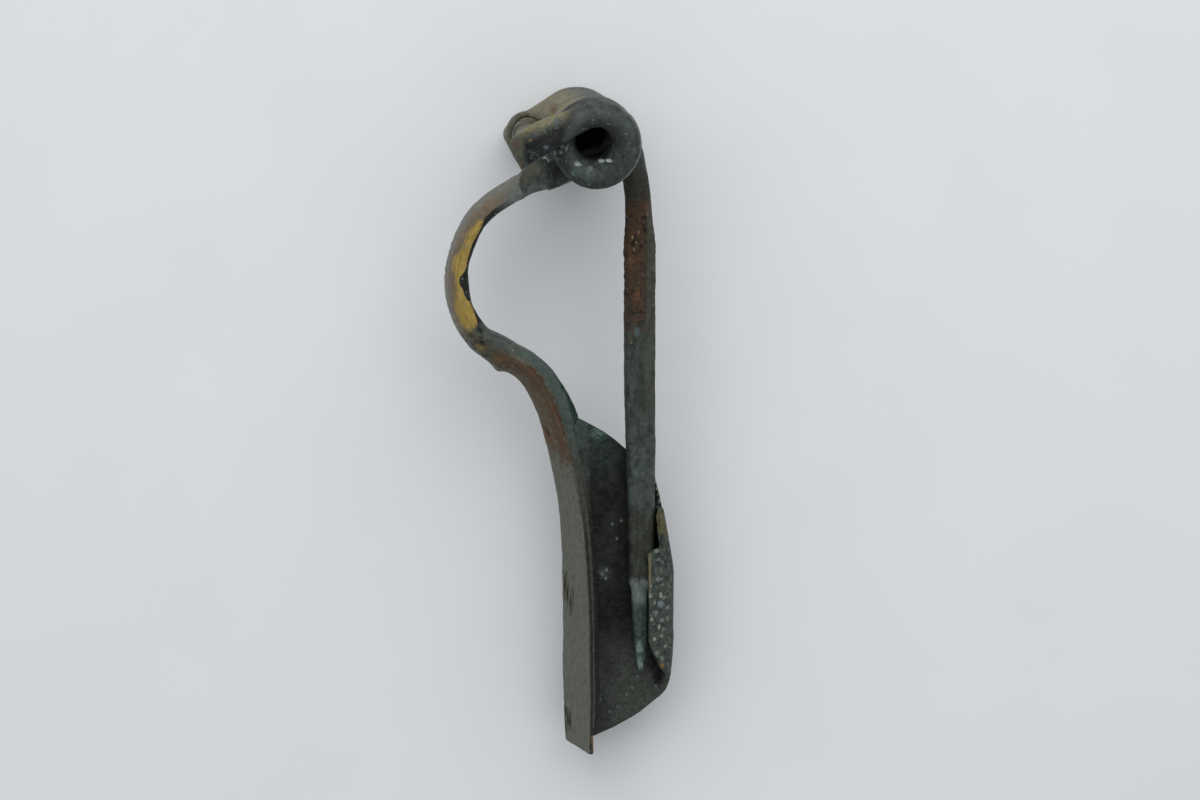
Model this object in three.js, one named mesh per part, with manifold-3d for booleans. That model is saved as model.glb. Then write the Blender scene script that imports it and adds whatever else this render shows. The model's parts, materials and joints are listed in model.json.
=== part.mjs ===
// Eye brooch: a bronze dress fastener of the Roman Iron Age, wrought from one bar.
// The bar's middle is the arched bow with its eyed head, roof-shaped foot and catchplate. Its thin end
// winds outward in the far coils, crosses under the head's hook as the chord, winds inward in the
// near coils and leaves them as the pin, whose tip rests in the fold of the catchplate.
// The brooch is drawn in its own frame: X from the bow towards the pin, Y towards the head,
// Z along the spring's axis, with the axis through the origin. At the end it is laid on its far side,
// the way it comes to rest. Lengths are in millimetres.

import * as THREE from 'three';
import { ConvexHull } from 'three/addons/math/ConvexHull.js';
import { mergeVertices } from 'three/addons/utils/BufferGeometryUtils.js';
import Module from 'manifold-3d';

const wasm = await Module();
wasm.setup();

// Spring and chord
const wireDiameter = 2.8;
const coilBore = 3.95;
const coilGap = 0.55;
const waistGap = 0.5;
const wholeTurns = 3;
const chordStandOff = 3.4;
const chordSag = 0.2;
const chordLift = 0.7;
const nearReach = 0.75;
const bandEndWidth = 4.0;
const cornerRadius = 1.7;

// Bow, measured from the spring's axis, and its crest
const bowRise = 15.7;
const bowLength = 66.6;
const bowDepth = 3.0;
const headWidth = 11.0;
const archWidth = 7.2;
const crestProud = 0.45;

// Head's eyes and hook
const eyeRadius = 2.1;
const eyeInset = 0.9;
const hookWidth = 3.0;
const hookThickness = 0.7;

// Foot, and the keel under it that thins into the catchplate
const footWidth = 12.4;
const footDepth = 2.9;
const footEdge = 0.5;
const footCornerReach = 0.8;
const keelWidth = 5.0;
const keelDepth = 2.3;
const webWidth = 1.9;
const webDepth = 1.2;

// Catchplate and the fold that holds the pin. The fold's curl is centred past the pin's line.
const plateThickness = 0.9;
const foldOffset = 1.45;
const foldThickness = 0.8;
const foldLip = 0.7;

// Pin, measured from the spring's axis
const pinOffset = 5.65;
const pinWidth = 3.6;
const pinDepth = 2.7;
const pinRootDrop = 6.6;
const pinTipDrop = 58.6;
const kneeInset = 0.75;
const kneeDrop = 2.0;
const coilSwell = 0.45;

// Clearances, and how far a cutter runs past what it cuts
const catchClearance = 0.45;
const foldClearance = 0.2;
const seam = 0.1;
const runningGap = 0.3;
const hookGap = 0.2;
const overrun = 1.0;

// Smoothness
const wireSides = 10;
const stepsPerTurn = 20;
const cornerSteps = 5;
const foldSteps = 7;

const circle = 2 * Math.PI;
const farEntryAngle = THREE.MathUtils.degToRad(123);
const nearEntryAngle = THREE.MathUtils.degToRad(115);
const bandSlope = THREE.MathUtils.degToRad(1.3);
const tailAngle = THREE.MathUtils.degToRad(20);
const wireRadius = wireDiameter / 2;
const coilRadius = (coilBore + wireDiameter) / 2;
const coilOuter = coilRadius + wireRadius;
const coilPitch = wireDiameter + coilGap;
const innerZ = (wireDiameter + waistGap) / 2;
const pinCatchLift = (plateThickness + pinDepth) / 2 + catchClearance;
const foldRadius = (pinCatchLift + (pinDepth + foldThickness) / 2 + foldClearance) / 2;
const plateReach = pinOffset + foldOffset + foldRadius + foldThickness / 2;

const point = (x, y, z) => new THREE.Vector3(x, y, z);
const along = (start, direction, length) => start.clone().addScaledVector(direction, length);
const mirrored = (place) => point(place.x, place.y, -place.z);
const { lerp } = THREE.MathUtils;

// Closed solids from rings of corners

function loft(rings) {
  const count = rings[0].length;
  const corners = rings.flat();
  const faces = [];
  for (let ring = 0; ring + 1 < rings.length; ring += 1) {
    for (let side = 0; side < count; side += 1) {
      const here = ring * count + side;
      const next = ring * count + ((side + 1) % count);
      faces.push([here, next, next + count], [here, next + count, here + count]);
    }
  }
  const lastRing = corners.length - count;
  capFaces(rings[0]).forEach(([a, b, c]) => faces.push([c, b, a]));
  capFaces(rings.at(-1)).forEach((face) => faces.push(face.map((corner) => corner + lastRing)));

  const facesOut = volumeOf(corners, faces) > 0 ? faces : faces.map((face) => face.toReversed());
  const geometry = new THREE.BufferGeometry().setFromPoints(corners);
  geometry.setIndex(facesOut.flat());
  return geometry;
}

// Triangles over a flat ring, turned the same way as the ring.
function capFaces(ring) {
  const middle = ring.reduce((sum, corner) => sum.add(corner), point(0, 0, 0)).divideScalar(ring.length);
  const spokes = ring.map((corner) => corner.clone().sub(middle));
  const normal = spokes.reduce(
    (sum, spoke, i) => sum.add(spoke.clone().cross(spokes[(i + 1) % ring.length])),
    point(0, 0, 0)).normalize();
  const across = spokes[0].clone().projectOnPlane(normal).normalize();
  const up = normal.clone().cross(across);
  const flat = spokes.map((spoke) => new THREE.Vector2(spoke.dot(across), spoke.dot(up)));
  return THREE.ShapeUtils.triangulateShape(flat, []);
}

// Six times the volume inside the faces.
function volumeOf(corners, faces) {
  return faces.reduce(
    (sum, [a, b, c]) => sum + corners[a].dot(corners[b].clone().cross(corners[c])), 0);
}

// An oval bar along a path. sizeAt gives its half width and half depth at each point of the path.
function bar(path, sizeAt, widthDirection) {
  const across = widthDirection.clone();
  return loft(path.map((centre, i) => {
    const before = path[Math.max(i - 1, 0)];
    const after = path[Math.min(i + 1, path.length - 1)];
    const forward = after.clone().sub(before).normalize();
    across.projectOnPlane(forward).normalize();
    const up = forward.clone().cross(across);
    const [halfWidth, halfDepth] = sizeAt(i);
    return Array.from({ length: wireSides }, (_, side) => {
      const angle = (circle * side) / wireSides;
      return along(along(centre, across, halfWidth * Math.cos(angle)), up, halfDepth * Math.sin(angle));
    });
  }));
}

function toSolid(geometry) {
  const bare = geometry.clone();
  bare.deleteAttribute('normal');
  bare.deleteAttribute('uv');
  const merged = mergeVertices(bare);
  return new wasm.Manifold(new wasm.Mesh({
    numProp: 3,
    vertProperties: merged.attributes.position.array,
    triVerts: new Uint32Array(merged.index.array),
  }));
}

function cut(geometry, cutters) {
  const left = cutters.reduce((solid, cutter) => solid.subtract(toSolid(cutter)), toSolid(geometry));
  const mesh = left.getMesh();
  const result = new THREE.BufferGeometry();
  result.setAttribute('position', new THREE.BufferAttribute(mesh.vertProperties, 3));
  result.setIndex([...mesh.triVerts]);
  return result;
}

// Bow: stations along its crown from the head to the foot's end. Each has its rise from the spring
// and its distance along the brooch as shares of the bow's, and its depth and width likewise.
const crownShares = [
  [0.28, 0.0443], [0.439, 0.0578], [0.602, 0.0766], [0.822, 0.1186],
  [0.965, 0.183], [1.0, 0.222], [0.962, 0.2905], [0.815, 0.348],
  [0.618, 0.379], [0.476, 0.403], [0.379, 0.44], [0.274, 0.517],
  [0.19, 0.62], [0.162, 0.78], [0.158, 0.9], [0.137, 1.0],
];
const bowDepthShares = [0.87, 0.8, 0.73, 0.7, 0.78, 0.83, 0.92, 1.0, 1.13];
const headWidthShares = [0.86, 1.0, 0.94, 0.8];
const archWidthShares = [1.06, 1.0, 0.93, 0.83, 0.75];
const footDepthShares = [0.66, 0.69, 0.69, 0.75, 0.86, 0.98, 1.0, 0.88];
const footWidthShares = [0.42, 0.45, 0.5, 0.61, 0.74, 0.89, 0.97, 1.0];
const crestStation = 8;
const footStation = 15;

const crown = new THREE.CatmullRomCurve3(
  crownShares.map(([rise, length]) => point(-rise * bowRise, -length * bowLength, 0)));

function frameAt(station) {
  const t = station / footStation;
  const forward = crown.getTangent(t);
  const inward = point(-forward.y, forward.x, 0);
  return { origin: crown.getPoint(t), forward, inward };
}

// A smooth value at any place between numbered stations.
const smoothValue = (values) => {
  const curve = new THREE.CatmullRomCurve3(values.map((value) => point(value, 0, 0)));
  return (place) => curve.getPoint(THREE.MathUtils.clamp(place / (values.length - 1), 0, 1)).x;
};
const depthAt = smoothValue(bowDepthShares.map((share) => share * bowDepth));
const widthAt = smoothValue([
  ...headWidthShares.map((share) => share * headWidth),
  ...archWidthShares.map((share) => share * archWidth),
]);
const roofDepth = smoothValue(footDepthShares.map((share) => share * footDepth));
const roofWidth = smoothValue(footWidthShares.map((share) => share * footWidth));

// The middle of the head's back face, where the spring's wire leaves it.
const headEndFrame = frameAt(0);
const headBack = along(headEndFrame.origin, headEndFrame.inward, depthAt(0) / 2);

// Spring: the far half's wire mirrors the near half's, so each is written for the near side

// The wire's centre in the coils. The angle falls as the wire winds inward.
function coilPoint(angle, swell) {
  const radius = coilRadius + swell;
  const z = innerZ + (coilPitch * angle) / circle;
  return point(radius * Math.cos(angle), radius * Math.sin(angle), z);
}

function coilPath(entryAngle, innerAngle, swellAt) {
  const outerAngle = entryAngle + circle * wholeTurns;
  const steps = Math.round(((outerAngle - innerAngle) / circle) * stepsPerTurn);
  return Array.from({ length: steps + 1 }, (_, i) => {
    const angle = lerp(outerAngle, innerAngle, i / steps);
    return coilPoint(angle, swellAt(angle));
  });
}

// How far through a coil's last quarter turn an angle is.
const lastQuarter = (angle, innerAngle) => Math.max(0, 1 - (angle - innerAngle) / (circle / 4));

// The straight band that leaves a coil for the chord's end.
function bandFrom(entryAngle, reach) {
  const start = coilPoint(entryAngle + circle * wholeTurns, 0);
  const direction = point(-Math.sin(entryAngle), Math.cos(entryAngle), Math.tan(bandSlope)).normalize();
  const endX = -(coilRadius + chordStandOff + chordSag + reach);
  const length = (endX - start.x) / direction.x;
  return { direction, length, at: (distance) => along(start, direction, distance) };
}

// The near band lies flatter than the far one and reaches further.
const farBand = bandFrom(farEntryAngle, 0);
const nearBand = bandFrom(nearEntryAngle, nearReach);

// The bend from a band into the chord.
function cornerPoints(band) {
  const start = band.at(band.length - cornerRadius);
  const centre = point(start.x, start.y, start.z - cornerRadius);
  return Array.from({ length: cornerSteps + 1 }, (_, i) => {
    const angle = ((circle / 4) * i) / cornerSteps;
    const outward = along(centre, band.direction, cornerRadius * Math.sin(angle));
    return outward.add(point(0, 0, cornerRadius * Math.cos(angle)));
  });
}

// The chord's middle, where the hook holds it, lies level with the far band's end.
const chordMiddle = (({ x, y }) => point(x + chordSag, y + chordLift, 0))(farBand.at(farBand.length));

function chordPath() {
  const farCorner = cornerPoints(farBand).map(mirrored);
  const nearCorner = cornerPoints(nearBand);
  const bend = new THREE.CatmullRomCurve3([farCorner.at(-1), chordMiddle, nearCorner.at(-1)]);
  return [
    mirrored(farBand.at(wireDiameter + seam)),
    ...farCorner,
    ...bend.getPoints(cornerSteps * 2).slice(1, -1),
    ...nearCorner.toReversed(),
    nearBand.at(wireDiameter + runningGap),
  ];
}

// The near band is beaten wider towards its end.
const bandHalfWidth = (distance) => lerp(wireRadius, bandEndWidth / 2, distance / nearBand.length);

// From the far band inward through the far coils, whose last quarter turn draws in so that the wire
// leaves under them as a straight neck, square to the middle of the head's back face.
function farPath() {
  const { forward, inward } = headEndFrame;
  const neckAngle = Math.atan2(forward.x, -forward.y);
  const drawnIn = headBack.dot(inward) - coilRadius;
  const swellAt = (angle) => drawnIn * lastQuarter(angle, neckAngle) ** 2;
  const coils = coilPath(farEntryAngle, neckAngle, swellAt);
  const start = coils.at(-1);
  const length = headBack.clone().sub(start).dot(forward) - seam;
  const neckShares = [[0.3, 0.6], [0.6, 0.95], [0.7, 1], [1, 1]];
  const neck = neckShares.map(([share, levelled]) => {
    const place = along(start, forward, length * share);
    place.z = start.z * (1 - levelled);
    return place;
  });
  return [farBand.at(wireDiameter), ...coils, ...neck].map(mirrored);
}

// From the near band inward through the near coils, whose last quarter turn widens, to the pin's root.
function nearPath() {
  const swellAt = (angle) => coilSwell * lastQuarter(angle, tailAngle) ** 2;
  const coils = coilPath(nearEntryAngle, tailAngle, swellAt);
  const knee = point(pinOffset - kneeInset, -kneeDrop, pinRoot.z);
  const tail = new THREE.QuadraticBezierCurve3(coils.at(-1), knee, pinRoot).getPoints(stepsPerTurn);
  const clearOfRoot = (place) => place.distanceTo(pinRoot) > pinRootRadius + runningGap;
  return [nearBand.at(wireDiameter), ...coils, ...tail.slice(1).filter(clearOfRoot)];
}

// The least air between two wires, or between a wire and itself past half a turn.
function leastGap(path, other) {
  const gaps = path.flatMap((a, i) => other
    .filter((_, j) => path !== other || Math.abs(i - j) > stepsPerTurn / 2)
    .map((b) => a.distanceTo(b) - wireDiameter));
  return Math.min(...gaps);
}

// A ring from half a section, given from the crown round to the underside as [half width, depth] pairs.
function bowRing(station, halfSection, endReach = 0) {
  const { origin, forward, inward } = frameAt(station);
  const widest = Math.max(...halfSection.map(([z]) => z));
  const place = ([z, depth], side) => {
    const corner = along(along(origin, inward, depth), forward, (endReach * z) / widest);
    corner.z = side * z;
    return corner;
  };
  const near = halfSection.map((pair) => place(pair, 1));
  const far = halfSection.slice(1).map((pair) => place(pair, -1));
  return [...near, ...far.reverse()];
}

const stationsBetween = (from, to, steps) =>
  Array.from({ length: steps + 1 }, (_, i) => lerp(from, to, i / steps));

const headEnd = 2.3;
const eyeStation = 0.65;
const hookStation = 0.95;
const crestHalfStations = 0.28;
const crestStart = crestStation - crestHalfStations;
const crestEnd = crestStation + crestHalfStations;
const keelEnd = 10.6;
const keelRamp = 0.12;
const keelTaperShare = 0.9;
const webFade = 0.5;
const webEndShare = 0.3;
const stationSeam = 0.03;

// The head and the arch are domed outside, with upright sides and a narrower flat underside.
const domeShares = [[0, 0], [0.4, 0.05], [0.75, 0.21], [0.94, 0.48], [0.97, 0.76], [0.78, 1]];

const domeSection = (station, proud = 0) => {
  const halfWidth = widthAt(station) / 2 + proud;
  const depth = depthAt(station) + proud;
  return domeShares.map(([across, down]) => [across * halfWidth, down * depth - proud]);
};

function headPlate() {
  const plate = loft(stationsBetween(0, headEnd, 5).map((s) => bowRing(s, domeSection(s))));
  const { origin, forward, inward } = frameAt(eyeStation);
  const eyes = [-1, 1].map((side) => {
    const length = depthAt(eyeStation) + overrun * 2;
    const eye = new THREE.CylinderGeometry(eyeRadius, eyeRadius, length, stepsPerTurn);
    const middle = along(origin, inward, length / 2 - overrun);
    const turn = new THREE.Matrix4().makeBasis(forward, inward, point(0, 0, 1));
    eye.applyMatrix4(turn.setPosition(middle.x, middle.y, side * (headWidth / 2 - eyeInset)));
    return eye;
  });
  return cut(plate, eyes);
}

function bowArch() {
  const from = headEnd + stationSeam;
  const to = crestStart - stationSeam;
  return loft(stationsBetween(from, to, 18).map((s) => bowRing(s, domeSection(s))));
}

function bowCrest() {
  const proudShares = [0.2, 1, 1, 0.2];
  const stations = stationsBetween(crestStart, crestEnd, proudShares.length - 1);
  return loft(stations.map((s, i) => bowRing(s, domeSection(s, crestProud * proudShares[i]))));
}

// The foot is a roof with thin edges over a keel. The keel narrows into a low web that the plate grows
// from, and the web fades out at the foot's end.
function keelAt(station) {
  const share = THREE.MathUtils.clamp((station - crestEnd) / (keelEnd - crestEnd), 0, 1);
  const past = THREE.MathUtils.clamp((station - keelEnd) / keelRamp, 0, 1);
  const faded = THREE.MathUtils.clamp(1 - (footStation - station) / webFade, 0, 1);
  const lowWeb = webDepth * lerp(1, webEndShare, faded);
  const halfWidth = lerp(keelWidth, webWidth, share) / 2;
  return {
    halfWidth,
    endHalfWidth: lerp(halfWidth * keelTaperShare, (plateThickness + seam) / 2, past),
    depth: lerp(lerp(keelDepth / 2, keelDepth, share), lowWeb, past),
  };
}

// Halfway down each slope, which is slightly full.
const slopeShares = [0.5, 0.45];

function footSection(station) {
  const depth = roofDepth(station - crestStation);
  const halfWidth = roofWidth(station - crestStation) / 2;
  const keel = keelAt(station);
  return [
    [0, 0],
    [halfWidth * slopeShares[0], (depth - footEdge) * slopeShares[1]],
    [halfWidth, depth - footEdge],
    [halfWidth, depth],
    [keel.halfWidth, depth - footEdge / 2],
    [keel.endHalfWidth, depth + keel.depth],
  ];
}

function foot() {
  const stations = [
    ...stationsBetween(crestEnd + stationSeam, keelEnd, 6),
    ...stationsBetween(keelEnd + keelRamp, footStation, 9),
  ];
  return loft(stations.map((s) => bowRing(s, footSection(s), s === footStation ? footCornerReach : 0)));
}

// The place on the foot's underside where the catchplate starts, a seam away.
function plateRoot(station) {
  const { origin, inward } = frameAt(station);
  return along(origin, inward, footSection(station).at(-1)[1] + seam);
}

// Catchplate: its free edge as shares of its reach and of the bow's length, above and below the fold
const plateTopShares = [[0.21, 0.486], [0.44, 0.512], [0.795, 0.559], [0.83, 0.581], [0.882, 0.613]];
const plateEndShares = [
  [0.98, 0.879], [0.969, 0.901], [0.937, 0.917], [0.865, 0.928], [0.625, 0.955], [0.323, 0.98],
];
const foldShares = [
  // length, reach, part of the full curl, part of the lip
  [0.616, 0.885, 0.66, 0.15],
  [0.672, 0.955, 0.75, 0.15],
  [0.678, 0.965, 1, 0.45],
  [0.715, 1, 1, 1],
  [0.823, 1.003, 1, 1],
  [0.852, 0.995, 0.97, 0.5],
  [0.876, 0.98, 0.83, 0.15],
];
const foldStations = foldShares.map(([length, reach, curl, lip]) => ({
  y: -length * bowLength,
  x: reach * plateReach - foldRadius - foldThickness / 2,
  curl,
  lip: lip * foldLip,
}));

function catchplate() {
  const edgePoint = ([reach, length]) => [reach * plateReach, -length * bowLength];
  const underKeel = frameAt(keelEnd).forward;
  const root = [
    along(plateRoot(keelEnd), underKeel, seam),
    along(plateRoot(keelEnd + keelRamp), underKeel, seam),
    ...stationsBetween(keelEnd + keelRamp, footStation, 9).slice(1).map(plateRoot),
  ];
  const besideFold = foldStations.map(({ x, y }) => [x - seam, y]);
  besideFold[0][1] += seam;
  besideFold.at(-1)[1] -= seam;
  const outline = [
    ...plateTopShares.map(edgePoint),
    ...besideFold,
    ...plateEndShares.map(edgePoint),
    ...root.reverse().map(({ x, y }) => [x, y]),
  ];
  const shape = new THREE.Shape(outline.map(([x, y]) => new THREE.Vector2(x, y)));
  const plate = new THREE.ExtrudeGeometry(shape, { depth: plateThickness, bevelEnabled: false });
  return plate.translate(0, 0, -plateThickness / 2);
}

// The fold curls towards the near side, over the pin, and ends in a straight lip.
function catchFold() {
  return loft(foldStations.map(({ x, y, curl, lip }) => {
    const sweep = curl * (circle / 2);
    const arc = (radius) => Array.from({ length: foldSteps + 1 }, (_, i) => {
      const angle = (sweep * i) / foldSteps - circle / 4;
      return point(x + radius * Math.cos(angle), y, foldRadius + radius * Math.sin(angle));
    });
    const lipDirection = point(Math.cos(sweep), 0, Math.sin(sweep));
    const outside = arc(foldRadius + foldThickness / 2);
    const inside = arc(foldRadius - foldThickness / 2);
    return [
      ...outside,
      along(outside.at(-1), lipDirection, lip),
      along(inside.at(-1), lipDirection, lip),
      ...inside.reverse(),
    ];
  }));
}

// Hook: a strip that rises from the head's crown, passes behind the chord and curls over it,
// narrowing to its tip
const hookCurlStart = THREE.MathUtils.degToRad(212);
const hookCurlEnd = THREE.MathUtils.degToRad(62);
const hookTipShare = 0.7;

function chordHook() {
  const { origin, inward } = frameAt(hookStation);
  const curl = wireRadius + hookGap + hookThickness / 2;
  const curlAngles = stationsBetween(hookCurlStart, hookCurlEnd, 8);
  const root = along(origin, inward, -seam);
  const path = [
    root,
    along(root, inward, -hookThickness),
    ...curlAngles.map((angle) =>
      along(chordMiddle, point(Math.cos(angle), Math.sin(angle), 0), curl)),
  ];
  return loft(path.map((place, i) => {
    const before = path[Math.max(i - 1, 0)];
    const after = path[Math.min(i + 1, path.length - 1)];
    const forward = i === 0 ? inward.clone().negate() : after.clone().sub(before).normalize();
    const side = point(forward.y, -forward.x, 0);
    const halfWidth = (hookWidth / 2) * lerp(1, hookTipShare, i / (path.length - 1));
    return [[1, 1], [1, -1], [-1, -1], [-1, 1]].map(([across, z]) => {
      const corner = along(place, side, (across * hookThickness) / 2);
      corner.z = z * halfWidth;
      return corner;
    });
  }));
}

// Pin: stations from its root to its tip, as shares of its length, of its thickness, and of its
// width by which it strays from a straight line
const pinShares = [
  [0, 0.92, -0.08], [0.11, 1, -0.01], [0.38, 0.97, 0], [0.53, 0.92, 0.03], [0.74, 0.8, 0.045],
  [0.815, 0.75, 0.02], [0.83, 0.53, -0.03], [0.9, 0.49, -0.01], [0.97, 0.36, 0.01], [1, 0.14, 0.015],
];
const rootDomeShares = [0.97, 0.8, 0.45];

const pinRootLift = innerZ;
const pinPoint = ([length, , stray]) => point(
  pinOffset + stray * pinWidth,
  lerp(-pinRootDrop, -pinTipDrop, length),
  lerp(pinRootLift, pinCatchLift, length));
const pinRoot = pinPoint(pinShares[0]);
const pinRootRadius = (pinWidth / 2) * pinShares[0][1];

function pin() {
  const rootSize = pinShares[0][1];
  const dome = rootDomeShares.map((share) => ({
    place: point(pinRoot.x, pinRoot.y + (pinDepth / 2) * share, pinRoot.z),
    size: rootSize * Math.sqrt(1 - share ** 2),
  }));
  const shaft = pinShares.map((shares) => ({ place: pinPoint(shares), size: shares[1] }));
  const stations = [...dome, ...shaft];
  return bar(
    stations.map(({ place }) => place),
    (i) => [(stations[i].size * pinWidth) / 2, (stations[i].size * pinDepth) / 2],
    point(1, 0, 0));
}

const far = farPath();
const near = nearPath();
const chord = chordPath();
const chordRun = chord.slice(cornerSteps, -cornerSteps);
const squareTo = (band) => band.direction.clone().cross(point(0, 0, 1));
const roundWire = () => [wireRadius, wireRadius];

function chordWire() {
  const cornerStart = chord.length - cornerSteps - 2;
  const sizeAt = (i) => {
    const risen = THREE.MathUtils.clamp((i - cornerStart + cornerSteps) / cornerSteps, 0, 1);
    const halfWidth = i === chord.length - 1
      ? bandHalfWidth(wireDiameter + runningGap)
      : lerp(wireRadius, bandHalfWidth(nearBand.length - cornerRadius), risen);
    return [halfWidth, wireRadius];
  };
  return bar(chord, sizeAt, squareTo(farBand));
}

// The near wire thickens over its last stretch to meet the pin.
function nearCoils() {
  const tailPoints = near.filter(({ x, y }) => Math.hypot(x, y) > coilRadius + coilSwell).length - 1;
  const sizeAt = (i) => {
    const share = Math.max(0, 1 - (near.length - 1 - i) / tailPoints);
    const startWidth = i === 0 ? bandHalfWidth(wireDiameter) : wireRadius;
    return [lerp(startWidth, pinRootRadius, share), lerp(wireRadius, pinDepth / 2, share)];
  };
  return bar(near, sizeAt, squareTo(nearBand));
}

// Metals
const bronze = (color, roughness, metalness) =>
  new THREE.MeshStandardMaterial({ color, roughness, metalness });
const darkPatina = bronze(0x5c5f5a, 0.75, 0.35);
const greyPatina = bronze(0x73736c, 0.7, 0.35);
const oliveBronze = bronze(0x7b7465, 0.65, 0.4);
const wornBrass = bronze(0xa88a4c, 0.45, 0.8);
const coilPatina = bronze(0x6c716c, 0.65, 0.4);
const brownPin = bronze(0x6f665c, 0.65, 0.4);

const brooch = new THREE.Group();
const add = (name, geometry, material) => {
  geometry.computeVertexNormals();
  const mesh = new THREE.Mesh(geometry, material);
  mesh.name = name;
  brooch.add(mesh);
};
add('head_plate', headPlate(), greyPatina);
add('chord_hook', chordHook(), greyPatina);
add('bow_arch', bowArch(), wornBrass);
add('bow_crest', bowCrest(), greyPatina);
add('foot', foot(), oliveBronze);
add('catchplate', catchplate(), darkPatina);
add('catch_fold', catchFold(), greyPatina);
add('coils_far', bar(far, roundWire, squareTo(farBand)), coilPatina);
add('chord', chordWire(), coilPatina);
add('coils_near', nearCoils(), coilPatina);
add('pin', pin(), brownPin);

console.log('least gap of the far coils to themselves', leastGap(far, far).toFixed(2), 'mm');
console.log('least gap of the near coils to themselves', leastGap(near, near).toFixed(2), 'mm');
console.log('least gap of the near coils to the far coils', leastGap(near, far).toFixed(2), 'mm');
console.log('least gap of the chord to the near coils', leastGap(near, chordRun).toFixed(2), 'mm');

// Lying down: the brooch rests on the face of its hull that its weight bears on

function weightCentre(group) {
  let volume = 0;
  const moment = point(0, 0, 0);
  for (const { geometry } of group.children) {
    const { position } = geometry.attributes;
    const order = geometry.index ? [...geometry.index.array] : [...Array(position.count).keys()];
    const corners = order.map((i) => point(0, 0, 0).fromBufferAttribute(position, i));
    for (let i = 0; i < corners.length; i += 3) {
      const [a, b, c] = corners.slice(i, i + 3);
      const part = a.dot(b.clone().cross(c));
      volume += part;
      moment.addScaledVector(a.clone().add(b).add(c), part / 4);
    }
  }
  return moment.divideScalar(volume);
}

function restingTurn(group) {
  const down = point(0, 0, -1);
  const hull = new ConvexHull().setFromObject(group);
  const ray = new THREE.Ray(weightCentre(group), down);
  const bearing = hull.intersectRay(ray, point(0, 0, 0));
  const distance = (face) => Math.abs(face.distanceToPoint(bearing));
  const support = hull.faces.reduce((best, face) => (distance(face) < distance(best) ? face : best));
  return new THREE.Quaternion().setFromUnitVectors(support.normal, down);
}

brooch.quaternion.copy(restingTurn(brooch));
const part = new THREE.Group();
part.add(brooch);
const box = new THREE.Box3().setFromObject(part, true);
const middle = box.getCenter(point(0, 0, 0));
brooch.position.set(-middle.x, -middle.y, -box.min.z);

export default part;
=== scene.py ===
# %% [markdown]
# # An eye brooch, wrought from one bar
#
# The real brooch is a single piece of bronze. A smith hammered the middle of a bar into the bow, drew
# one end out into a long round wire, wound it into the spring, and flattened what was left into the pin.
# The lesson follows the smith: each part is drawn out station by station, bent, worn and then coloured.
#
# The packed model is the fixed frame. It says where every part is, so nothing is fitted by eye.

# %% Load the packed model
import json
import math

import bmesh
import bpy
from mathutils import Matrix, Quaternion, Vector
from mathutils.kdtree import KDTree


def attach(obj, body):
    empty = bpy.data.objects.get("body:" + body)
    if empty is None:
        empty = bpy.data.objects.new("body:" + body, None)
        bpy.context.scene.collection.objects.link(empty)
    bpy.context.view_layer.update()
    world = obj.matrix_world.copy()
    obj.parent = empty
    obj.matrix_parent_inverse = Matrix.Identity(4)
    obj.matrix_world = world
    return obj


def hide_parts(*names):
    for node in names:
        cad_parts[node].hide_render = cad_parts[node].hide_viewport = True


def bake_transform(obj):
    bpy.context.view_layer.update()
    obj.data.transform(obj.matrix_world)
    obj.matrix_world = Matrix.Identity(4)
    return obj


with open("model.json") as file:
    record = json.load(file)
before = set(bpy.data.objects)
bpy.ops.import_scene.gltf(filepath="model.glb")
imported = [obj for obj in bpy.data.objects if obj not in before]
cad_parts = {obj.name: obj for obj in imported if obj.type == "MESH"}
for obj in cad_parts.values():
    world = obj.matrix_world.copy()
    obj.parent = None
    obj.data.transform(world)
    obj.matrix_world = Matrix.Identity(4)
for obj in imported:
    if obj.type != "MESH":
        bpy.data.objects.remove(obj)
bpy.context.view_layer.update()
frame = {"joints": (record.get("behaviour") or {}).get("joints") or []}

# %% [markdown]
# ## The brooch's own frame
#
# The brooch lies a little askew on its spring and its foot. It is much easier to draw it upright in
# millimetres: X from the bow to the pin, Y towards the head, Z along the spring. The two joints of the
# packed model give the turn between that frame and the row's frame, since both axes are known in each.

# %% The turn from the brooch's own frame to the row's frame
MM = 0.001
joints = {joint["name"]: joint for joint in frame["joints"]}
spring_centre = Vector(joints["pin_swing"]["pos_m"])
spring_axis = Vector(joints["pin_swing"]["axis"]).normalized()
release_axis = Vector(joints["pin_release"]["axis"]).normalized()
release_slant, release_turn = math.radians(15), math.radians(38)
release_heading = math.atan2(
    math.cos(release_slant), -math.sin(release_slant) * math.cos(release_turn))
level_release = (release_axis - spring_axis * release_axis.dot(spring_axis)).normalized()
to_pin = Quaternion(spring_axis, -release_heading) @ level_release
to_head = spring_axis.cross(to_pin)
laid_down = (Matrix.Translation(spring_centre)
             @ Matrix((to_pin, to_head, spring_axis)).transposed().to_4x4()
             @ Matrix.Scale(MM, 4))
print("spring's tilt, degrees:", round(math.degrees(spring_axis.angle(Vector((0, 0, 1)))), 2))

# %% [markdown]
# ## The camera
#
# The brooch was photographed from straight above. The paper's scale and the lens fix the camera's
# height. Its place over the paper follows from where the photograph shows the spring's centre.

# %% Camera straight above the paper
camera_height = 0.700
lens_mm, sensor_mm = 188.67, 36
spring_in_view = Vector((-1.34, 28.72, 0)) * MM
bpy.ops.object.select_all(action="DESELECT")
bpy.ops.object.camera_add(
    location=(spring_centre.x - spring_in_view.x, spring_centre.y - spring_in_view.y, camera_height),
    rotation=(0, 0, 0))
camera = bpy.context.object
camera.data.lens, camera.data.sensor_width = lens_mm, sensor_mm
print("camera above the paper, mm:", camera_height / MM)
bpy.context.scene.camera = camera

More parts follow.
